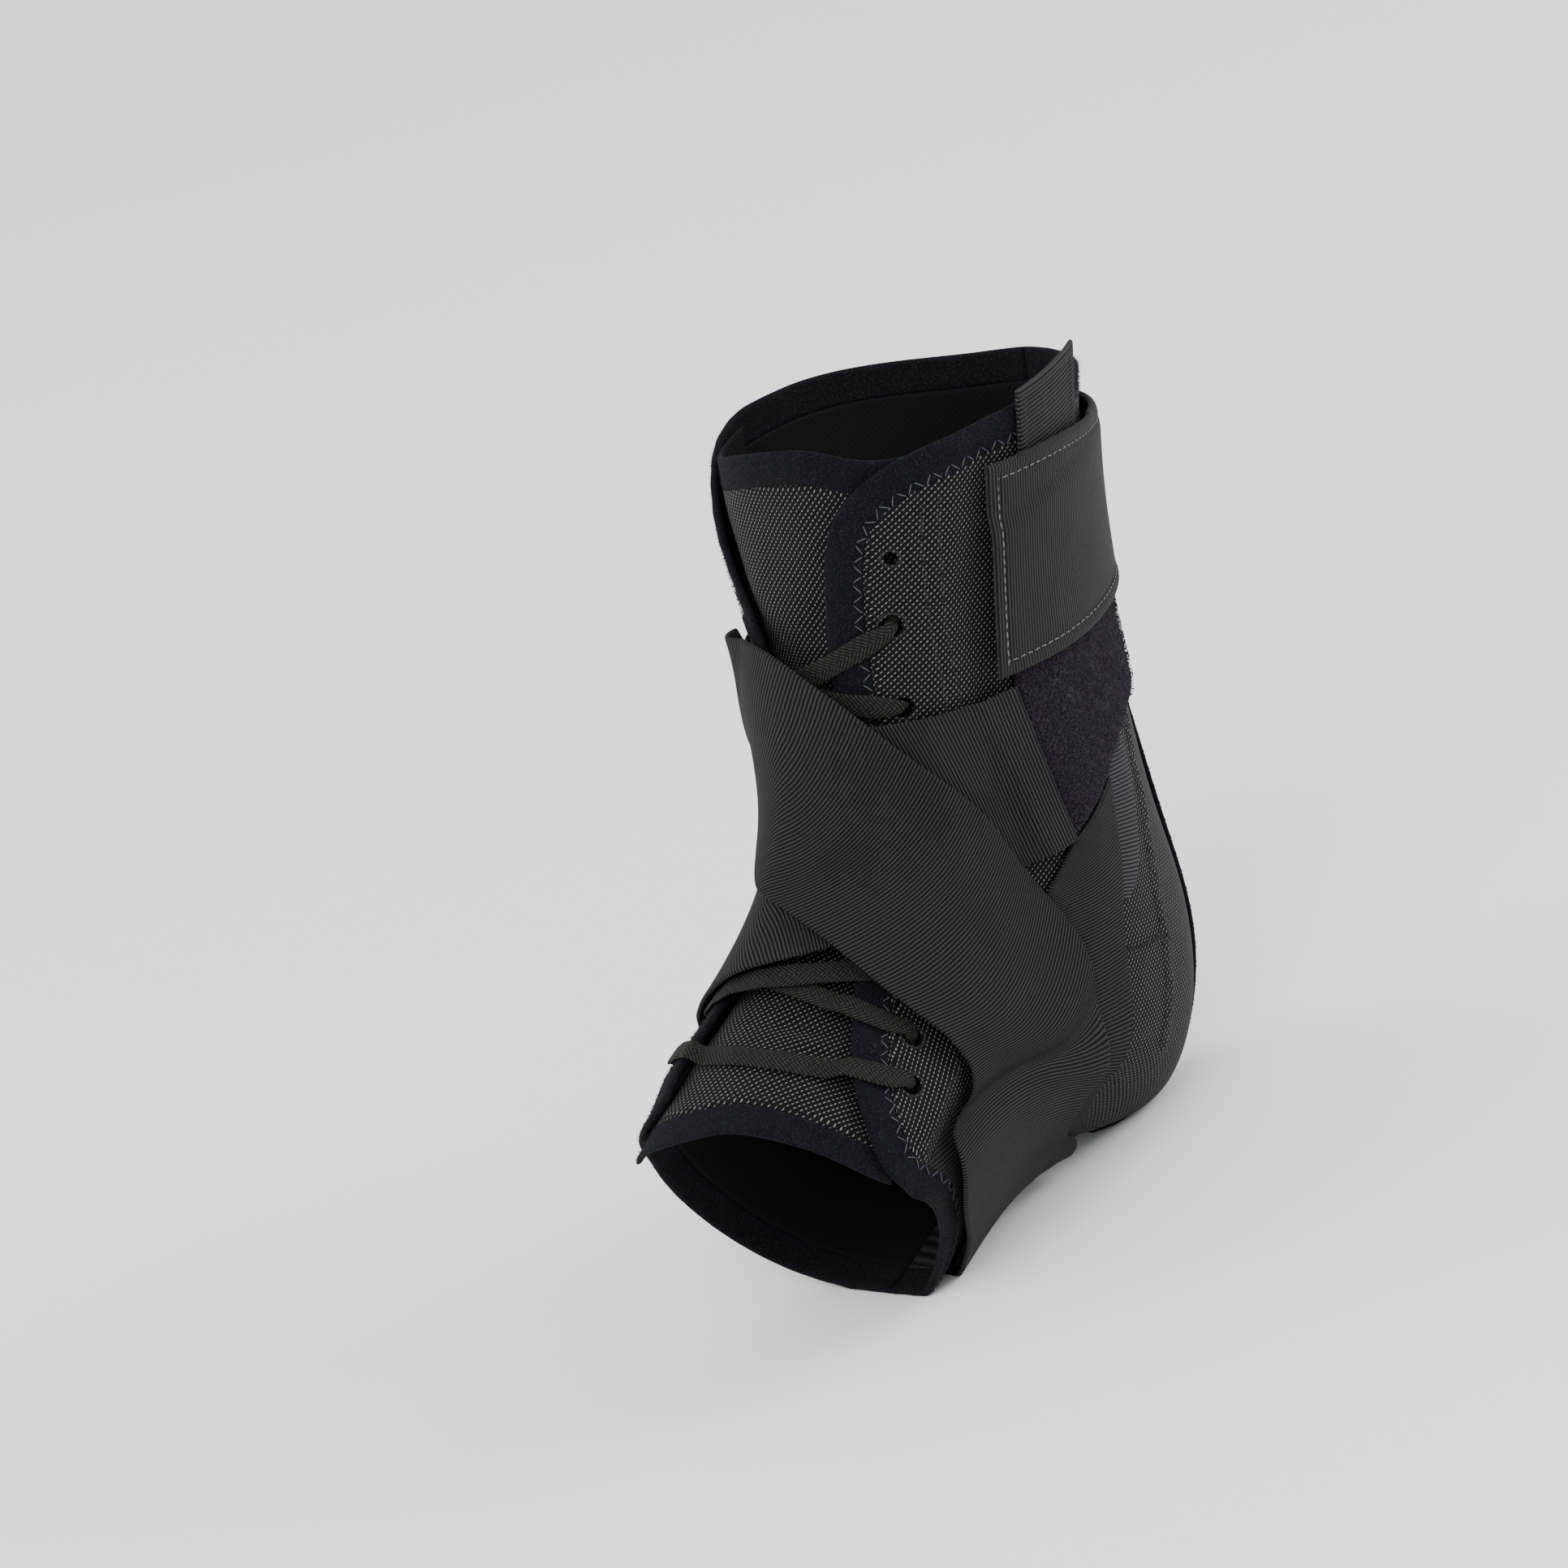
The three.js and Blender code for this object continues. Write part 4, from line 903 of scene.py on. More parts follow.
def makeHeelTape(s):
    width = layer["heelWidth"]
    seam = track([[s["first"] + (s["last"] - s["first"]) * i / 39, 180] for i in range(40)])
    station = seam["at"](spaced(seam["at"], 0, seam["length"], shares(s["rows"], s["tall"])))[0]
    reach = width * (shares(14, width) - 0.5)[None, :] + np.zeros((len(station), 1))
    station = station[:, None] + np.zeros_like(reach)
    place = walk(station, np.full(station.shape, 180.0), (-1, 0, 0), reach)
    bottom = layer["panel"] + layer["clearance"]
    low = np.full(station.shape, bottom)
    swell = 0.22 * np.exp(-(reach / 1.2) ** 2)
    return makeSheet("heel_tape", place, low, low + layer["heelBinding"] + swell, bindingPaint, flow="rows")


heelTape = makeHeelTape(heelSettings)

# Tongue

tongueTopStation = column(tongueEnds, 1)
tongueToeStation = column(tongueEnds, 2)


def tonguePlaces(top, toe, t, s):
    t, s = np.meshgrid(t, s, indexing="ij")
    station = top(np.zeros_like(t)) * (1 - t) + toe(np.zeros_like(t)) * t
    for _ in range(4):
        angle = lateralTongueSide(station) * (1 - s) + medialTongueSide(station) * s
        station = top(angle) * (1 - t) + toe(angle) * t
    return station, angle


def walked(curve, direction, length):
    # the same end of the tongue, moved along the form
    angles = np.linspace(-80, 90, 60)
    moved = walk(curve(angles), angles, direction, length)[0]
    return lambda angle: np.interp(angle, angles, moved)


tongueSettings = {
    "rows": 150, "tapeRows": 12, "columns": 60, "tall": 190, "wide": 75, "wave": 0.2,
    # station, angle, reach along, reach across, height
    "dents": [
        [2.85, 11, 0.22, 7, -1.6], [2.55, -20, 0.35, 12, 1.1], [3.3, -12, 0.3, 14, -0.9],
        [1.95, 14, 0.3, 12, 0.9], [9.25, 33, 0.16, 7, -1.5], [8.75, 22, 0.16, 9, -1.2],
        [9.7, 6, 0.5, 22, 0.9], [10.4, 40, 0.5, 14, 0.5], [9.4, 48, 0.3, 6, -0.9],
    ],
}
taped = layer["bindingWidth"]
seat = taped - layer["tuck"]
down, back = (0, 0, -1), (0, 1, 0)
tongueParts = {
    "tongue_pad": (walked(tongueTopStation, down, seat), walked(tongueToeStation, back, seat)),
    "tongue_top_tape": (tongueTopStation, walked(tongueTopStation, down, taped)),
    "tongue_toe_tape": (walked(tongueToeStation, back, taped), tongueToeStation),
}
tongues = {}
for name, (top, toe) in tongueParts.items():
    s = tongueSettings
    pad = name == "tongue_pad"
    along = shares(s["rows"], s["tall"]) if pad else shares(s["tapeRows"], taped)
    place = tonguePlaces(top, toe, along, shares(s["columns"], s["wide"]))
    push = relief(*place, [], s["dents"]) + wave(*place, s["wave"])
    push = push * smooth((place[0] - 1.3) / 0.6)
    paint = meshPaint if pad else bindingPaint
    tongues[name] = makeSheet(name, place, push, push + layer["tongue"], paint, flow="cut")
print("tongue and heel tape made")

# Straps

strapSettings = {"rows": 260, "columns": 34, "tableWidth": 50, "rim": 0.6}


def strapPlaces(edges, s):
    edges = np.array(edges, float)
    steps = [np.linalg.norm(np.diff(formPoint(edges[:, k], edges[:, k + 1]), axis=0), axis=1)
             for k in (0, 2)]
    reach = np.concatenate([[0], np.cumsum(sum(steps) / 2)])
    curves = [splineThrough(reach, c) for c in edges.T]

    def middle(d):
        rear, rearAngle, front, frontAngle = (c(d) for c in curves)
        return [(rear + front) / 2, (rearAngle + frontAngle) / 2, front - rear, frontAngle - rearAngle]

    length = reach[-1]
    d = spaced(middle, 0, length, shares(s["rows"], length))
    station, angle, stationSpan, angleSpan = (x[:, None] for x in middle(d))
    share = (shares(s["columns"], s["tableWidth"]) - 0.5)[None, :]
    distance = d[:, None] + np.zeros_like(share)
    return (station + stationSpan * share, angle + angleSpan * share), distance, length - distance


def climb(left, overlap):
    return (layer["pile"] + layer["clearance"]) * smooth((overlap + 7 - left) / 6)


crossing = np.array(medialStrapEdges[9:])
crossingStation = splineThrough(crossing[:, 1] - 360, crossing[:, 0])


def lateralLift(station, angle, distance, left):
    turn = plainAngle(angle)
    beyond = smooth((station - crossingStation(turn) + 1.2) / 0.8)
    over = smooth(distance / 18) * np.where(left > 60, 1, beyond)
    instep = smooth((140 - np.abs(turn)) / 40)
    sole, top = layer["strap"] + layer["soleGap"], layer["strap"] + layer["crossingGap"]
    return (sole + (top - sole) * instep) * over


place, distance, left = strapPlaces(medialStrapEdges, strapSettings)
low = strapBottom(*place) + climb(left, 6)
medialStrap = makeSheet("medial_band", place, low, low + layer["strap"], strapPaint,
                        form["strapLevel"], strapSettings["rim"], "rows")
place, distance, left = strapPlaces(lateralStrapEdges, strapSettings)
low = strapBottom(*place) + climb(left, 12) + lateralLift(*place, distance, left)
lateralStrap = makeSheet("lateral_band", place, low, low + layer["strap"], strapPaint,
                         form["strapLevel"], strapSettings["rim"], "rows")
print("straps made")

# Pile band, cuff and pull tab

pileTopStation = column(pileEdges, 1)
pileFootStation = column(pileEdges, 2)


def pilePlaces(t, s):
    t, s = np.meshgrid(t, s, indexing="ij")
    angle = pileEdges[0][0] + (pileEdges[-1][0] - pileEdges[0][0]) * s
    station = pileTopStation(angle) * (1 - t) + pileFootStation(angle) * t
    return station, angle + 8 * t * ((1 - s) ** 4 - s ** 4)


pileSettings = {"rows": 50, "columns": 180, "tall": 48, "round": 230, "rim": 1.2, "wave": 0.12}


def makePileBand(s):
    place = pilePlaces(shares(s["rows"], s["tall"], s["rim"]), shares(s["columns"], s["round"], s["rim"]))
    low = pileBottom(*place)
    high = low + layer["pile"] + wave(*place, s["wave"])
    return makeSheet("pile_band", place, low, high, pilePaint, radius=s["rim"], flow="columns")


pileBand = makePileBand(pileSettings)

cuffSettings = {
    "rows": 56, "columns": 210, "tall": 46, "round": 245, "wave": 0.1,
    "hem": 3.2, "hemDepth": 0.35, "tabAngle": 98, "tabStation": 1.5,
}
cuffMiddle = column(cuffRoute, 1)
cuffSpread = column(cuffRoute, 2)


def cuffPlaces(t, s):
    t, s = np.meshgrid(t, s, indexing="ij")
    angle = cuffRoute[0][0] + (cuffRoute[-1][0] - cuffRoute[0][0]) * s
    middle = cuffMiddle(angle)
    down = unit(formTangents(middle, angle)[0])
    return walk(middle, angle, down, layer["cuffWidth"] * cuffSpread(angle) * (t - 0.5))


def cuffBottom(station, angle):
    overPile = smooth((station - pileTopStation(angle) + 0.85) / 0.4)
    overTab = smooth((34 - np.abs(angle - cuffSettings["tabAngle"])) / 10)
    pileLift = (layer["pile"] + layer["pileGap"]) * overPile
    tabLift = (layer["tab"] + layer["clearance"]) * overTab
    return pileBottom(station, angle) + np.maximum(pileLift, tabLift)


def makeCuff(s):
    # the turned hem is a little thicker, with a puckered groove at its stitches
    place = cuffPlaces(shares(s["rows"], s["tall"]), shares(s["columns"], s["round"]))
    low = cuffBottom(*place)
    gap = rimGap(*measured(pointAbove(*place, low)))
    hem = 0.3 * smooth((s["hem"] - gap) / 0.8) - s["hemDepth"] * np.exp(-((gap - s["hem"]) / 0.55) ** 2)
    pucker = 0.1 * np.sin(place[1] * 2.4) * np.exp(-((gap - s["hem"]) / 1.6) ** 2)
    high = low + layer["cuff"] + hem + pucker + wave(*place, s["wave"])
    return makeSheet("cuff_band", place, low, high, cuffPaint, flow="columns")


cuff = makeCuff(cuffSettings)


def tabPlaces(t, s):
    t, s = np.meshgrid(t, s, indexing="ij")
    start, turn = cuffSettings["tabStation"], float(cuffSettings["tabAngle"])
    down, across = (unit(x) for x in formTangents(start, turn))
    foot = walk(np.full(t.shape, start), np.full(t.shape, turn), down, layer["tabLength"] * t)
    return walk(*foot, across, layer["tabWidth"] * (s - 0.5))


tabSettings = {"rows": 40, "columns": 30, "rim": 0.6, "fold": 0.25, "foldWidth": 3.4}


def makeTab(s):
    place = tabPlaces(shares(s["rows"], layer["tabLength"], s["rim"]),
                      shares(s["columns"], layer["tabWidth"], s["rim"]))
    low = panelTop(*place) + layer["clearance"]
    gap = rimGap(*measured(pointAbove(*place, low)))
    fold = s["fold"] * smooth((s["foldWidth"] - gap) / 0.8)
    high = low + layer["tab"] + fold
    return makeSheet("tab_band", place, low, high, tabPaint, radius=s["rim"], flow="rows")


tab = makeTab(tabSettings)
print("pile band, cuff and tab made")

# Lace

laceSettings = {
    "step": 0.5, "soften": 1.0, "corners": 16, "endLength": 12, "bend": 2.2,
    "dipStart": 2.5, "dipEnd": 6, "probes": 120, "flatness": (0.55, 0.8), "curl": 0.05,
    # from, to, and how far the run drops in the gap between the panels
    "runs": [
        [("lateral", 1), ("medial", 2), laceLayer], [("medial", 3), ("lateral", 4), 0],
        [("lateral", 5), ("medial", 6), laceLayer], [("medial", 7), ("lateral", 7), 2 * laceLayer],
        [("lateral", 6), ("medial", 5), 0], [("medial", 4), ("lateral", 3), laceLayer],
        [("lateral", 2), ("medial", 1), 0],
    ],
}
laceInside = layer["tongue"] + layer["clearance"] + layer["lace"] / 2


def laceOutside(place):
    return panelTop(*place) + layer["laceGap"] + layer["lace"] / 2


def pastEdge(place):
    # how far a place lies inside the gap between the panels, in degrees
    station, angle = place
    limits = []
    for side in (sides["medial"], sides["lateral"]):
        edge = side["edge"]
        d = np.linspace(edge["reach"][side["corner"] + 1], edge["reach"][side["toe"]], 1500)
        stations, angles = edge["at"](d)
        limits.append(np.interp(station, stations, angles))
    return np.minimum(limits[0] - angle, angle - limits[1])


def between(a, b, share):
    return a[0] + (b[0] - a[0]) * share, a[1] + (b[1] - a[1]) * share


def headingBetween(a, b):
    normal = formNormal(*between(a, b, 0.5))
    heading = formPoint(*b) - formPoint(*a)
    return unit(heading - normal * (heading @ normal))


def makeLace():
    s = laceSettings
    stops = []

    def stop(place, height, side, width, thickness):
        stops.append([*pointAbove(*place, height), *side, width, thickness])

    def flat(place, height, heading):
        side = unit(np.cross(formNormal(*place), heading))
        stop(place, height, side, layer["laceWidth"], layer["lace"])

    def throughEyelet(place, outHeading, inHeading):
        normal = formNormal(*place)
        outSide, inSide = (unit(np.cross(normal, h)) for h in (outHeading, inHeading))
        if outSide @ inSide < 0:
            inSide = -inSide
        outer = walk(*place, outHeading, -s["bend"])
        inner = walk(*place, inHeading, s["bend"])
        bunch = layer["bunchWidth"] + 0.8
        rows = [[outer, laceOutside(outer), outSide, bunch, layer["lace"]]]
        for i, share in enumerate((1, 0.5, 0)):
            mixed = outSide + (inSide - outSide) * (i + 1) / 4
            rows.append([place, panelBottom(*place) + layer["panel"] * share, mixed, layer["bunchWidth"],
                         layer["bunchThickness"]])
        rows.append([inner, laceInside, inSide, bunch, layer["lace"]])
        return rows

    runs = s["runs"]
    spots = {key: [tuple(float(x) for x in place) for place in value] for key, value in eyelets.items()}
    for i, (fromKey, toKey, drop) in enumerate(runs):
        start, end = spots[fromKey[0]][fromKey[1]], spots[toKey[0]][toKey[1]]
        before = spots[runs[i - 1][1][0]][runs[i - 1][1][1]] if i else spots[fromKey[0]][fromKey[1] - 1]
        last = i == len(runs) - 1
        after = spots[toKey[0]][toKey[1] - 1] if last else spots[runs[i + 1][0][0]][runs[i + 1][0][1]]
        heading = headingBetween(start, end)
        inStart, inEnd = headingBetween(before, start), headingBetween(end, after)
        if i == 0:
            for share in (1, 0.5):
                flat(walk(*start, inStart, -s["endLength"] * share), laceInside, inStart)
        for row in throughEyelet(start, -heading, -inStart)[::-1]:
            stop(*row)
        steps = s["probes"]
        past = np.array([pastEdge(between(start, end, k / steps)) for k in range(steps + 1)])
        a, b = (np.argmax(past > s[key]) / steps for key in ("dipStart", "dipEnd"))
        c, d = (1 - np.argmax(past[::-1] > s[key]) / steps for key in ("dipEnd", "dipStart"))
        for share in (a * 0.35, a * 0.7, a, b, (2 * b + c) / 3, (b + 2 * c) / 3, c, d, 1 - (1 - d) * 0.7,
                      1 - (1 - d) * 0.35):
            place = between(start, end, share)
            dip = smooth((pastEdge(place) - s["dipStart"]) / (s["dipEnd"] - s["dipStart"]))
            flat(place, laceOutside(place) - drop * dip, heading)
        for row in throughEyelet(end, heading, inEnd):
            stop(*row)
        if last:
            for share in (0.5, 1):
                flat(walk(*end, inEnd, s["endLength"] * share), laceInside, inEnd)
        else:
            for share in (0.3, 0.5, 0.7):
                flat(between(end, after, share), laceInside, inEnd)
    stops = np.array(stops, float)
    for i in range(1, len(stops)):
        if stops[i, 3:6] @ stops[i - 1, 3:6] < 0:
            stops[i, 3:6] *= -1
    reach = np.concatenate([[0], np.cumsum(np.linalg.norm(np.diff(stops[:, :3], axis=0), axis=1))])
    d = np.arange(0, reach[-1], s["step"])
    line = np.stack([np.interp(d, reach, stops[:, k]) for k in range(8)], -1)
    window = np.exp(-(np.arange(-5, 6) * s["step"] / s["soften"]) ** 2)
    window /= window.sum()
    padded = np.concatenate([np.repeat(line[:1], 5, 0), line, np.repeat(line[-1:], 5, 0)])
    line = np.stack([np.convolve(padded[:, k], window, "valid") for k in range(8)], -1)
    points, side, width, thickness = line[:, :3], line[:, 3:6], line[:, 6:7], line[:, 7:8]
    along = unit(np.gradient(points, axis=0))
    side = unit(side - along * (side * along).sum(-1, keepdims=True))
    up = np.cross(along, side)
    turn = np.linspace(0, 2 * np.pi, s["corners"], endpoint=False)
    x, y = np.cos(turn), np.sin(turn)
    x, y = (np.sign(k) * np.abs(k) ** power for k, power in zip((x, y), s["flatness"]))
    curl = 1 + s["curl"] * np.sin(d * 0.31)[:, None]
    ring = (points[:, None] + side[:, None] * (x * width * curl / 2)[..., None]
            + up[:, None] * (y * thickness / 2)[..., None])
    count, corners = ring.shape[:2]
    index = np.arange(count * corners).reshape(count, corners)
    nextColumn = np.roll(index, -1, 1)
    faces = quads(index[:-1], nextColumn[:-1], nextColumn[1:], index[1:])
    flatPlace = np.stack([x * width / 2 + y * 0.2, d[:, None] + 0 * x], -1).reshape(-1, 2)
    points = ring.reshape(-1, 3)
    print("lace length in mm", round(float(reach[-1])))
    return makeObject("flat_lace", points, turnedOut(points, faces), flatPlace, lacePaint)


lace = makeLace()
print("lace made")

# Stitches, piled loops and fuzz by geometry nodes

class Graph(Nodes):
    def __init__(self, name, sockets):
        super().__init__(bpy.data.node_groups.new(name, "GeometryNodeTree"))
        ports = self.tree.interface
        ports.new_socket("Geometry", in_out="INPUT", socket_type="NodeSocketGeometry")
        self.keys = {label: ports.new_socket(label, in_out="INPUT", socket_type=kind).identifier
                     for label, kind in sockets.items()}
        ports.new_socket("Geometry", in_out="OUTPUT", socket_type="NodeSocketGeometry")
        self.source = self.node("NodeGroupInput").outputs

    def finish(self, points, shape, rotation, scale):
        placed = self.node("GeometryNodeInstanceOnPoints", inputs={
            "Points": points, "Instance": shape, "Rotation": rotation, "Scale": scale})
        real = self.node("GeometryNodeRealizeInstances", inputs={"Geometry": placed.outputs[0]})
        smoothed = self.node("GeometryNodeSetShadeSmooth", inputs={"Geometry": real.outputs[0]})
        painted = self.node("GeometryNodeSetMaterial", inputs={
            "Geometry": smoothed.outputs[0], "Material": self.source["Paint"]})
        self.node("NodeGroupOutput", inputs={0: painted.outputs[0]})

    def use(self, piece, values):
        modifier = piece.modifiers.new(self.tree.name, "NODES")
        modifier.node_group = self.tree
        for label, value in values.items():
            modifier[self.keys[label]] = value
        applyAll(piece)
        for vertex in piece.data.vertices:
            vertex.co.z = max(vertex.co.z, 0)


def makeStitchGraph():
    g = Graph("stitch_rows", {
        "Pitch": "NodeSocketFloat", "Length": "NodeSocketFloat", "Width": "NodeSocketFloat",
        "Swing": "NodeSocketFloat", "Paint": "NodeSocketMaterial"})
    curve = g.node("GeometryNodeMeshToCurve", inputs={"Mesh": g.source["Geometry"]})
    even = g.node("GeometryNodeResampleCurve", {"mode": "LENGTH"}, {
        "Curve": curve.outputs[0], "Length": g.source["Pitch"]})
    up = g.node("GeometryNodeInputNamedAttribute", {"data_type": "FLOAT_VECTOR"}, {"Name": "up"})
    tangent = g.node("GeometryNodeInputTangent")
    along = g.node("FunctionNodeAlignRotationToVector", {"axis": "X"}, {"Vector": tangent.outputs[0]})
    facing = g.node("FunctionNodeAlignRotationToVector", {"axis": "Z", "pivot_axis": "X"}, {
        "Rotation": along.outputs[0], "Vector": up.outputs[0]})
    index = Wire(g, g.node("GeometryNodeInputIndex").outputs[0])
    swing = (index.math("MODULO", index, 2) * 2 - 1) * g.source["Swing"]
    turn = g.node("FunctionNodeAxisAngleToRotation", inputs={"Axis": (0, 0, 1), "Angle": swing})
    swung = g.node("FunctionNodeRotateRotation", {"rotation_space": "LOCAL"}, {
        "Rotation": facing.outputs[0], "Rotate By": turn.outputs[0]})
    width = Wire(g, g.source["Width"])
    scale = g.node("ShaderNodeCombineXYZ", inputs={0: g.source["Length"], 1: width, 2: width * 0.7})
    shape = g.node("GeometryNodeMeshUVSphere", inputs={"Segments": 8, "Rings": 5, "Radius": 0.5})
    g.finish(even.outputs[0], shape.outputs[0], swung.outputs[0], scale.outputs[0])
    return g


def makeHairGraph():
    g = Graph("short_hairs", {
        "Density": "NodeSocketFloat", "Seed": "NodeSocketInt", "Hair": "NodeSocketObject",
        "Paint": "NodeSocketMaterial"})
    spots = g.node("GeometryNodeDistributePointsOnFaces", inputs={
        "Mesh": g.source["Geometry"], "Density": g.source["Density"], "Seed": g.source["Seed"]})
    hair = g.node("GeometryNodeObjectInfo", {"transform_space": "ORIGINAL"}, {"Object": g.source["Hair"]})
    lean = g.node("FunctionNodeRandomValue", {"data_type": "FLOAT_VECTOR"}, {
        0: (-0.45, -0.45, -3.1), 1: (0.45, 0.45, 3.1), "Seed": g.source["Seed"]})
    turn = g.node("FunctionNodeEulerToRotation", inputs={0: lean.outputs[0]})
    leant = g.node("FunctionNodeRotateRotation", {"rotation_space": "LOCAL"}, {
        "Rotation": spots.outputs["Rotation"], "Rotate By": turn.outputs[0]})
    size = g.node("FunctionNodeRandomValue", {"data_type": "FLOAT"}, {
        2: 0.65, 3: 1.25, "Seed": g.source["Seed"]})
    g.finish(spots.outputs[0], hair.outputs["Geometry"], leant.outputs[0], size.outputs[1])
    return g


stitchGraph = makeStitchGraph()
hairGraph = makeHairGraph()


def stitchRows(name, rows, s, paint):
    # each row is a pair of places and heights, stitches lie along it
    points, ups, edges = [], [], []
    for place, height in rows:
        first = sum(len(p) for p in points)
        points.append(pointAbove(*place, height))
        ups.append(formNormal(*place))
        edges += [(first + i, first + i + 1) for i in range(len(points[-1]) - 1)]
    mesh = meshFrom(name, np.concatenate(points), edges, [])
    mark = mesh.attributes.new("up", "FLOAT_VECTOR", "POINT")
    mark.data.foreach_set("vector", np.concatenate(ups).ravel())
    made = addObject(name, mesh)
    stitchGraph.use(made, {
        "Pitch": s["pitch"] / 1000, "Length": s["length"] / 1000, "Width": s["width"] / 1000,
        "Swing": s["swing"], "Paint": paint})
    return made


def tube(name, line, radii):
    # a thin three-sided hair, in millimetres
    count = len(line)
    turn = np.arange(3) * 2 * np.pi / 3
    ring = np.stack([np.cos(turn), np.sin(turn)], -1)
    along = np.gradient(line, axis=0)
    along /= np.linalg.norm(along, axis=1, keepdims=True)
    side = np.array([0, 1, 0])
    up = np.cross(along, side)
    points = (line[:, None] + radii[:, None, None] * (
        ring[None, :, :1] * side + ring[None, :, 1:] * up[:, None])).reshape(-1, 3) / 1000
    faces = [(3 * i + k, 3 * i + (k + 1) % 3, 3 * i + 3 + (k + 1) % 3, 3 * i + 3 + k)
             for i in range(count - 1) for k in range(3)]
    mesh = bpy.data.meshes.new(name)
    mesh.from_pydata(points.tolist(), [], faces)
    return addObject(name, mesh)


def hairs(name, skins, hair, s, paint):
    # hairs strewn over surfaces above the form; hair is the shape that is repeated
    points, faces, first = [], [], 0
    for place, height in skins:
        grid = pointAbove(*place, height)
        index = first + np.arange(grid.shape[0] * grid.shape[1]).reshape(grid.shape[:2])
        a, b, c = grid[0, 0], grid[1, 0], grid[0, 1]
        outward = np.cross(b - a, c - a) @ formNormal(place[0][0, 0], place[1][0, 0]) > 0
        made = quads(index[:-1, :-1], index[1:, :-1], index[1:, 1:], index[:-1, 1:])
        faces.append(made if outward else made[:, ::-1])
        points.append(grid.reshape(-1, 3))
        first += len(points[-1])
    made = addObject(name, meshFrom(name, np.concatenate(points), [], np.concatenate(faces).tolist()))
    hairGraph.use(made, {"Density": s["density"] * 1e6, "Seed": s["seed"], "Hair": hair, "Paint": paint})
    bpy.data.objects.remove(hair)
    return made


def routePlaces(rows, count=120):
    route = track(rows)
    return route["at"](np.linspace(0, route["length"], count))


def panelSurface(name, place):
    return panelTop(*place) + relief(*place, panelSettings[name]) + wave(*place, panelSettings["wave"])


def bindingRow(side, inset, rise):
    d = np.linspace(1, side["edge"]["length"] - 1, 500)
    place = keepToSide(side, *insetPlace(side, d, np.full(d.shape, inset)))
    return place, panelTop(*place) + rise


def besideRoute(rows, offset):
    # the same route moved sideways over the form
    station, angle = routePlaces(rows)
    along = np.gradient(formPoint(station, angle), axis=0)
    aside = unit(np.cross(formNormal(station, angle), along))
    return walk(station, angle, aside, np.full(station.shape, offset))


def ringRow(place, radius, rise):
    turn = np.linspace(0, 2 * np.pi, 40)
    normal = formNormal(*place)
    right = unit(np.cross(normal, (0.3, 0.2, 0.9)))
    up = np.cross(normal, right)
    heading = np.cos(turn)[:, None] * right + np.sin(turn)[:, None] * up
    around = walk(np.full(40, place[0]), np.full(40, place[1]), heading, np.full(40, radius))
    return around, panelTop(*around) + rise


stitchSettings = {
    "zigzag": {"pitch": 2.3, "length": 2.9, "width": 0.3, "swing": 0.85},
    "loops": {"pitch": 0.95, "length": 1.6, "width": 0.3, "swing": 1.0},
    "hem": {"pitch": 2.1, "length": 1.7, "width": 0.34, "swing": 0.1},
    "fine": {"pitch": 0.42, "length": 0.75, "width": 0.3, "swing": 1.35},
}

bindingRows = {"inset": 6.8, "rise": 0.05, "heelSpan": (4.75, 8.6), "heelOffset": 4.3, "heelRise": 0.03}


def makeBindingStitches(s):
    rows = [bindingRow(side, s["inset"], s["rise"]) for side in sides.values()]
    seam = np.linspace(*s["heelSpan"], 300)
    height = layer["panel"] + layer["clearance"] + layer["heelBinding"] + s["heelRise"]
    for offset in (-s["heelOffset"], s["heelOffset"]):
        place = walk(seam, np.full(seam.shape, 180.0), (1, 0, 0), np.full(seam.shape, offset))
        rows.append((place, np.full(seam.shape, height)))
    return stitchRows("binding_stitches", rows, stitchSettings["zigzag"], navyThread)


# ridges higher than twinHeight have a row on either side, the others one along their middle
seamRows = {"twinHeight": 0.6, "twinOffset": 1.9, "rise": 0.1}


def makePanelStitches(s):
    rows = []
    for name in sides:
        for seam in panelSettings[name]:
            if seam["height"] > s["twinHeight"]:
                places = [besideRoute(seam["route"], k) for k in (-s["twinOffset"], s["twinOffset"])]
            else:
                places = [routePlaces(seam["route"])]
            rows += [(place, panelSurface(name, place) + s["rise"]) for place in places]
    return stitchRows("panel_seam_stitches", rows, stitchSettings["loops"], darkThread)


eyeletRows = {"emptyRadius": 2.0, "radius": 2.9, "rise": 0.08}


def makeEyeletStitches(s):
    rows = [ringRow(place, s["radius"] if row else s["emptyRadius"], s["rise"])
            for name in sides for row, place in enumerate(eyelets[name])]
    return stitchRows("eyelet_stitches", rows, stitchSettings["fine"], darkThread)


def rowAlong(places, t, share):
    return [x.ravel() for x in places(np.atleast_1d(t), np.atleast_1d(share))]


hemRows = {"rise": -0.02, "endRise": 0.26}


def makeCuffStitches(s):
    inset = cuffSettings["hem"] / cuffSettings["tall"], cuffSettings["hem"] / cuffSettings["round"]
    across, along = (np.linspace(k, 1 - k, count) for k, count in zip(inset, (60, 260)))
    rows = []
    for t, share, rise in (
            (inset[0], along, s["rise"]), (1 - inset[0], along, s["rise"]),
            (across, inset[1], s["endRise"]), (across, 1 - inset[1], s["endRise"])):
        place = rowAlong(cuffPlaces, t, share)
        rows.append((place, cuffBottom(*place) + layer["cuff"] + rise))
    return stitchRows("cuff_stitches", rows, stitchSettings["hem"], greyThread)


# shares of the tab's length and width
tabRows = {"top": 0.06, "foot": 0.98, "corner": 0.04, "side": 0.08, "rise": 0.2}


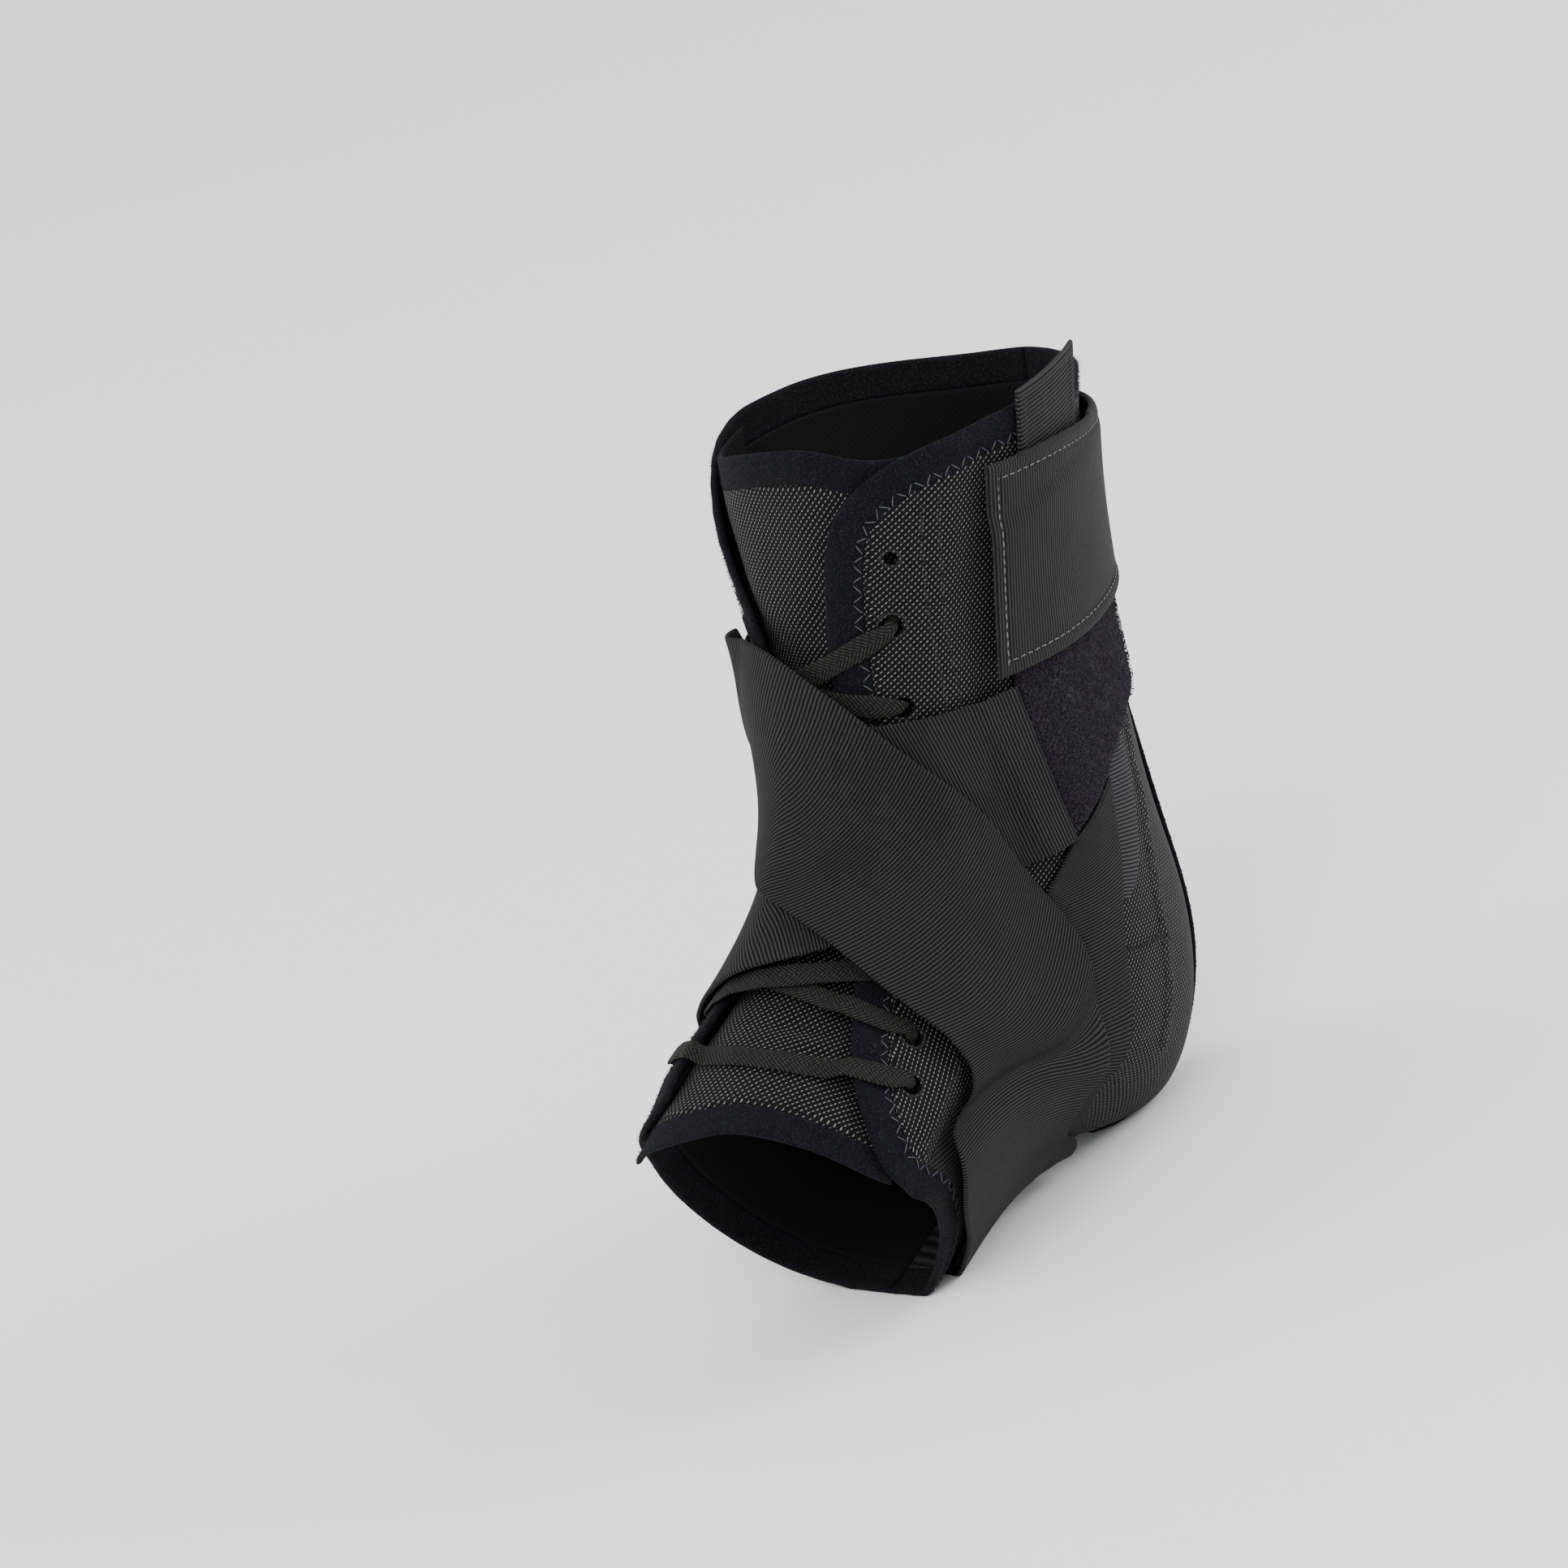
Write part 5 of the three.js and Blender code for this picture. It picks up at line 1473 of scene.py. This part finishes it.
def makeTabStitches(s):
    along = np.linspace(s["top"], s["foot"], 60)
    across = np.linspace(s["corner"], 1 - s["corner"], 60)
    rows = []
    for t, share in ((s["top"], across), (along, s["side"]), (along, 1 - s["side"])):
        place = rowAlong(tabPlaces, t, share)
        rows.append((place, panelTop(*place) + layer["clearance"] + layer["tab"] + s["rise"]))
    return stitchRows("tab_stitches", rows, stitchSettings["fine"], darkThread)


bindingStitches = makeBindingStitches(bindingRows)
panelStitches = makePanelStitches(seamRows)
eyeletStitches = makeEyeletStitches(eyeletRows)
cuffStitches = makeCuffStitches(hemRows)
tabStitches = makeTabStitches(tabRows)
print("stitches made")

# angles of a loop's ends in radians, and the shares of the band that the loops cover
loopSettings = {
    "density": 0.72, "seed": 4, "radius": 0.5, "thickness": 0.075, "rise": 0.15,
    "turn": (-0.4, 3.6), "down": (0.22, 0.99), "round": (0.005, 0.995),
}


def makePileLoops(s):
    turn = np.linspace(*s["turn"], 6)
    line = np.stack([s["radius"] * np.cos(turn), 0 * turn, s["radius"] * np.sin(turn) + s["rise"]], -1)
    loop = tube("pile_loop", line, np.full(6, s["thickness"]))
    place = pilePlaces(np.linspace(*s["down"], 40), np.linspace(*s["round"], 120))
    return hairs("pile_loops", [(place, pileBottom(*place) + layer["pile"])], loop, s, hairPaint)


fuzzSettings = {
    "density": 1.4, "seed": 9, "length": 0.7, "lean": 0.35, "root": 0.1, "radii": (0.055, 0.045, 0.01),
    "ends": 0.5, "insets": (0.3, 7.6), "down": (0.04, 0.96), "across": (0.01, 0.99),
}


def makeFuzz(s):
    bend = np.linspace(0, 1, len(s["radii"]))
    line = np.stack([s["lean"] * bend ** 2, 0 * bend, s["length"] * bend - s["root"]], -1)
    hair = tube("fuzz_hair", line, np.array(s["radii"]))
    skins = []
    for side in sides.values():
        d = np.linspace(s["ends"], side["edge"]["length"] - s["ends"], 260)[:, None] + np.zeros((1, 6))
        insets = np.linspace(*s["insets"], 6)[None, :] + np.zeros_like(d)
        place = keepToSide(side, *insetPlace(side, d, insets))
        skins.append((place, panelTop(*place)))
    for name in ("tongue_top_tape", "tongue_toe_tape"):
        place = tonguePlaces(*tongueParts[name], np.linspace(*s["down"], 5), np.linspace(*s["across"], 50))
        skins.append((place, np.full(place[0].shape, layer["tongue"])))
    return hairs("binding_fuzz", skins, hair, s, fuzzPaint)


pileHairs = makePileLoops(loopSettings)
bindingFuzz = makeFuzz(fuzzSettings)
print("loops and fuzz made")

# Ribbed strip over the stay on the inner side

staySettings = {
    # station, lower angle, higher angle
    "edges": [[4.5, 108, 122], [4.8, 105, 125], [5.17, 103, 125.5], [5.4, 102, 125], [5.7, 102, 122],
              [5.98, 102, 118], [6.23, 102, 113.5], [6.4, 102, 109], [6.5, 102, 106]],
    "rows": 70, "columns": 16, "tall": 55, "wide": 12, "rim": 0.4,
    "rise": 0.05, "height": 0.45, "crown": 0.25,
}


def makeStay(s):
    rows = np.array(s["edges"], float)
    t, share = np.meshgrid(shares(s["rows"], s["tall"], s["rim"]),
                           shares(s["columns"], s["wide"], s["rim"]), indexing="ij")
    station = rows[0, 0] + (rows[-1, 0] - rows[0, 0]) * t
    start, end = column(rows, 1)(station), column(rows, 2)(station)
    place = station, start + (end - start) * share
    low = panelSurface("medial", place) + s["rise"]
    high = low + s["height"] + s["crown"] * np.sin(np.pi * share)
    return makeSheet("stay_strip", place, low, high, stayPaint, radius=s["rim"], flow="rows")


stay = makeStay(staySettings)
print("stay strip made")

# What each piece stands for

for piece, nodes, finish in (
        (panels["medial"], ["medial_panel"], "mesh_cloth"),
        (panels["lateral"], ["lateral_panel"], "mesh_cloth"),
        (bindings["medial"], ["medial_binding"], "binding"),
        (bindings["lateral"], ["lateral_binding"], "binding"),
        (heelTape, ["heel_seam_binding"], "binding"),
        (tongues["tongue_pad"], ["tongue"], "mesh_cloth"),
        (tongues["tongue_top_tape"], ["tongue_top_binding"], "binding"),
        (tongues["tongue_toe_tape"], ["tongue_toe_binding"], "binding"),
        (medialStrap, ["medial_strap"], "strap_web"),
        (lateralStrap, ["lateral_strap"], "strap_web"),
        (pileBand, ["loop_pile_band"], "loop_pile"),
        (cuff, ["cuff_strap"], "cuff_elastic"),
        (tab, ["pull_tab"], "tab_web"),
        (lace, ["lace"], "lace_cord"),
        (bindingStitches, [], "binding"),
        (panelStitches, [], "mesh_cloth"),
        (eyeletStitches, [], "mesh_cloth"),
        (cuffStitches, [], "cuff_elastic"),
        (tabStitches, [], "tab_web"),
        (pileHairs, [], "loop_pile"),
        (bindingFuzz, [], "binding"),
        (stay, [], "strap_web")):
    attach(piece, "root")
    if nodes:
        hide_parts(*nodes)
for piece, below in (
        (medialStrap, "medial_panel"), (lateralStrap, "medial_strap"), (pileBand, "medial_panel"),
        (cuff, "loop_pile_band")):
    print(piece.name, "flat size in mm", [round(x * 1000, 1) for x in piece["flat"]])
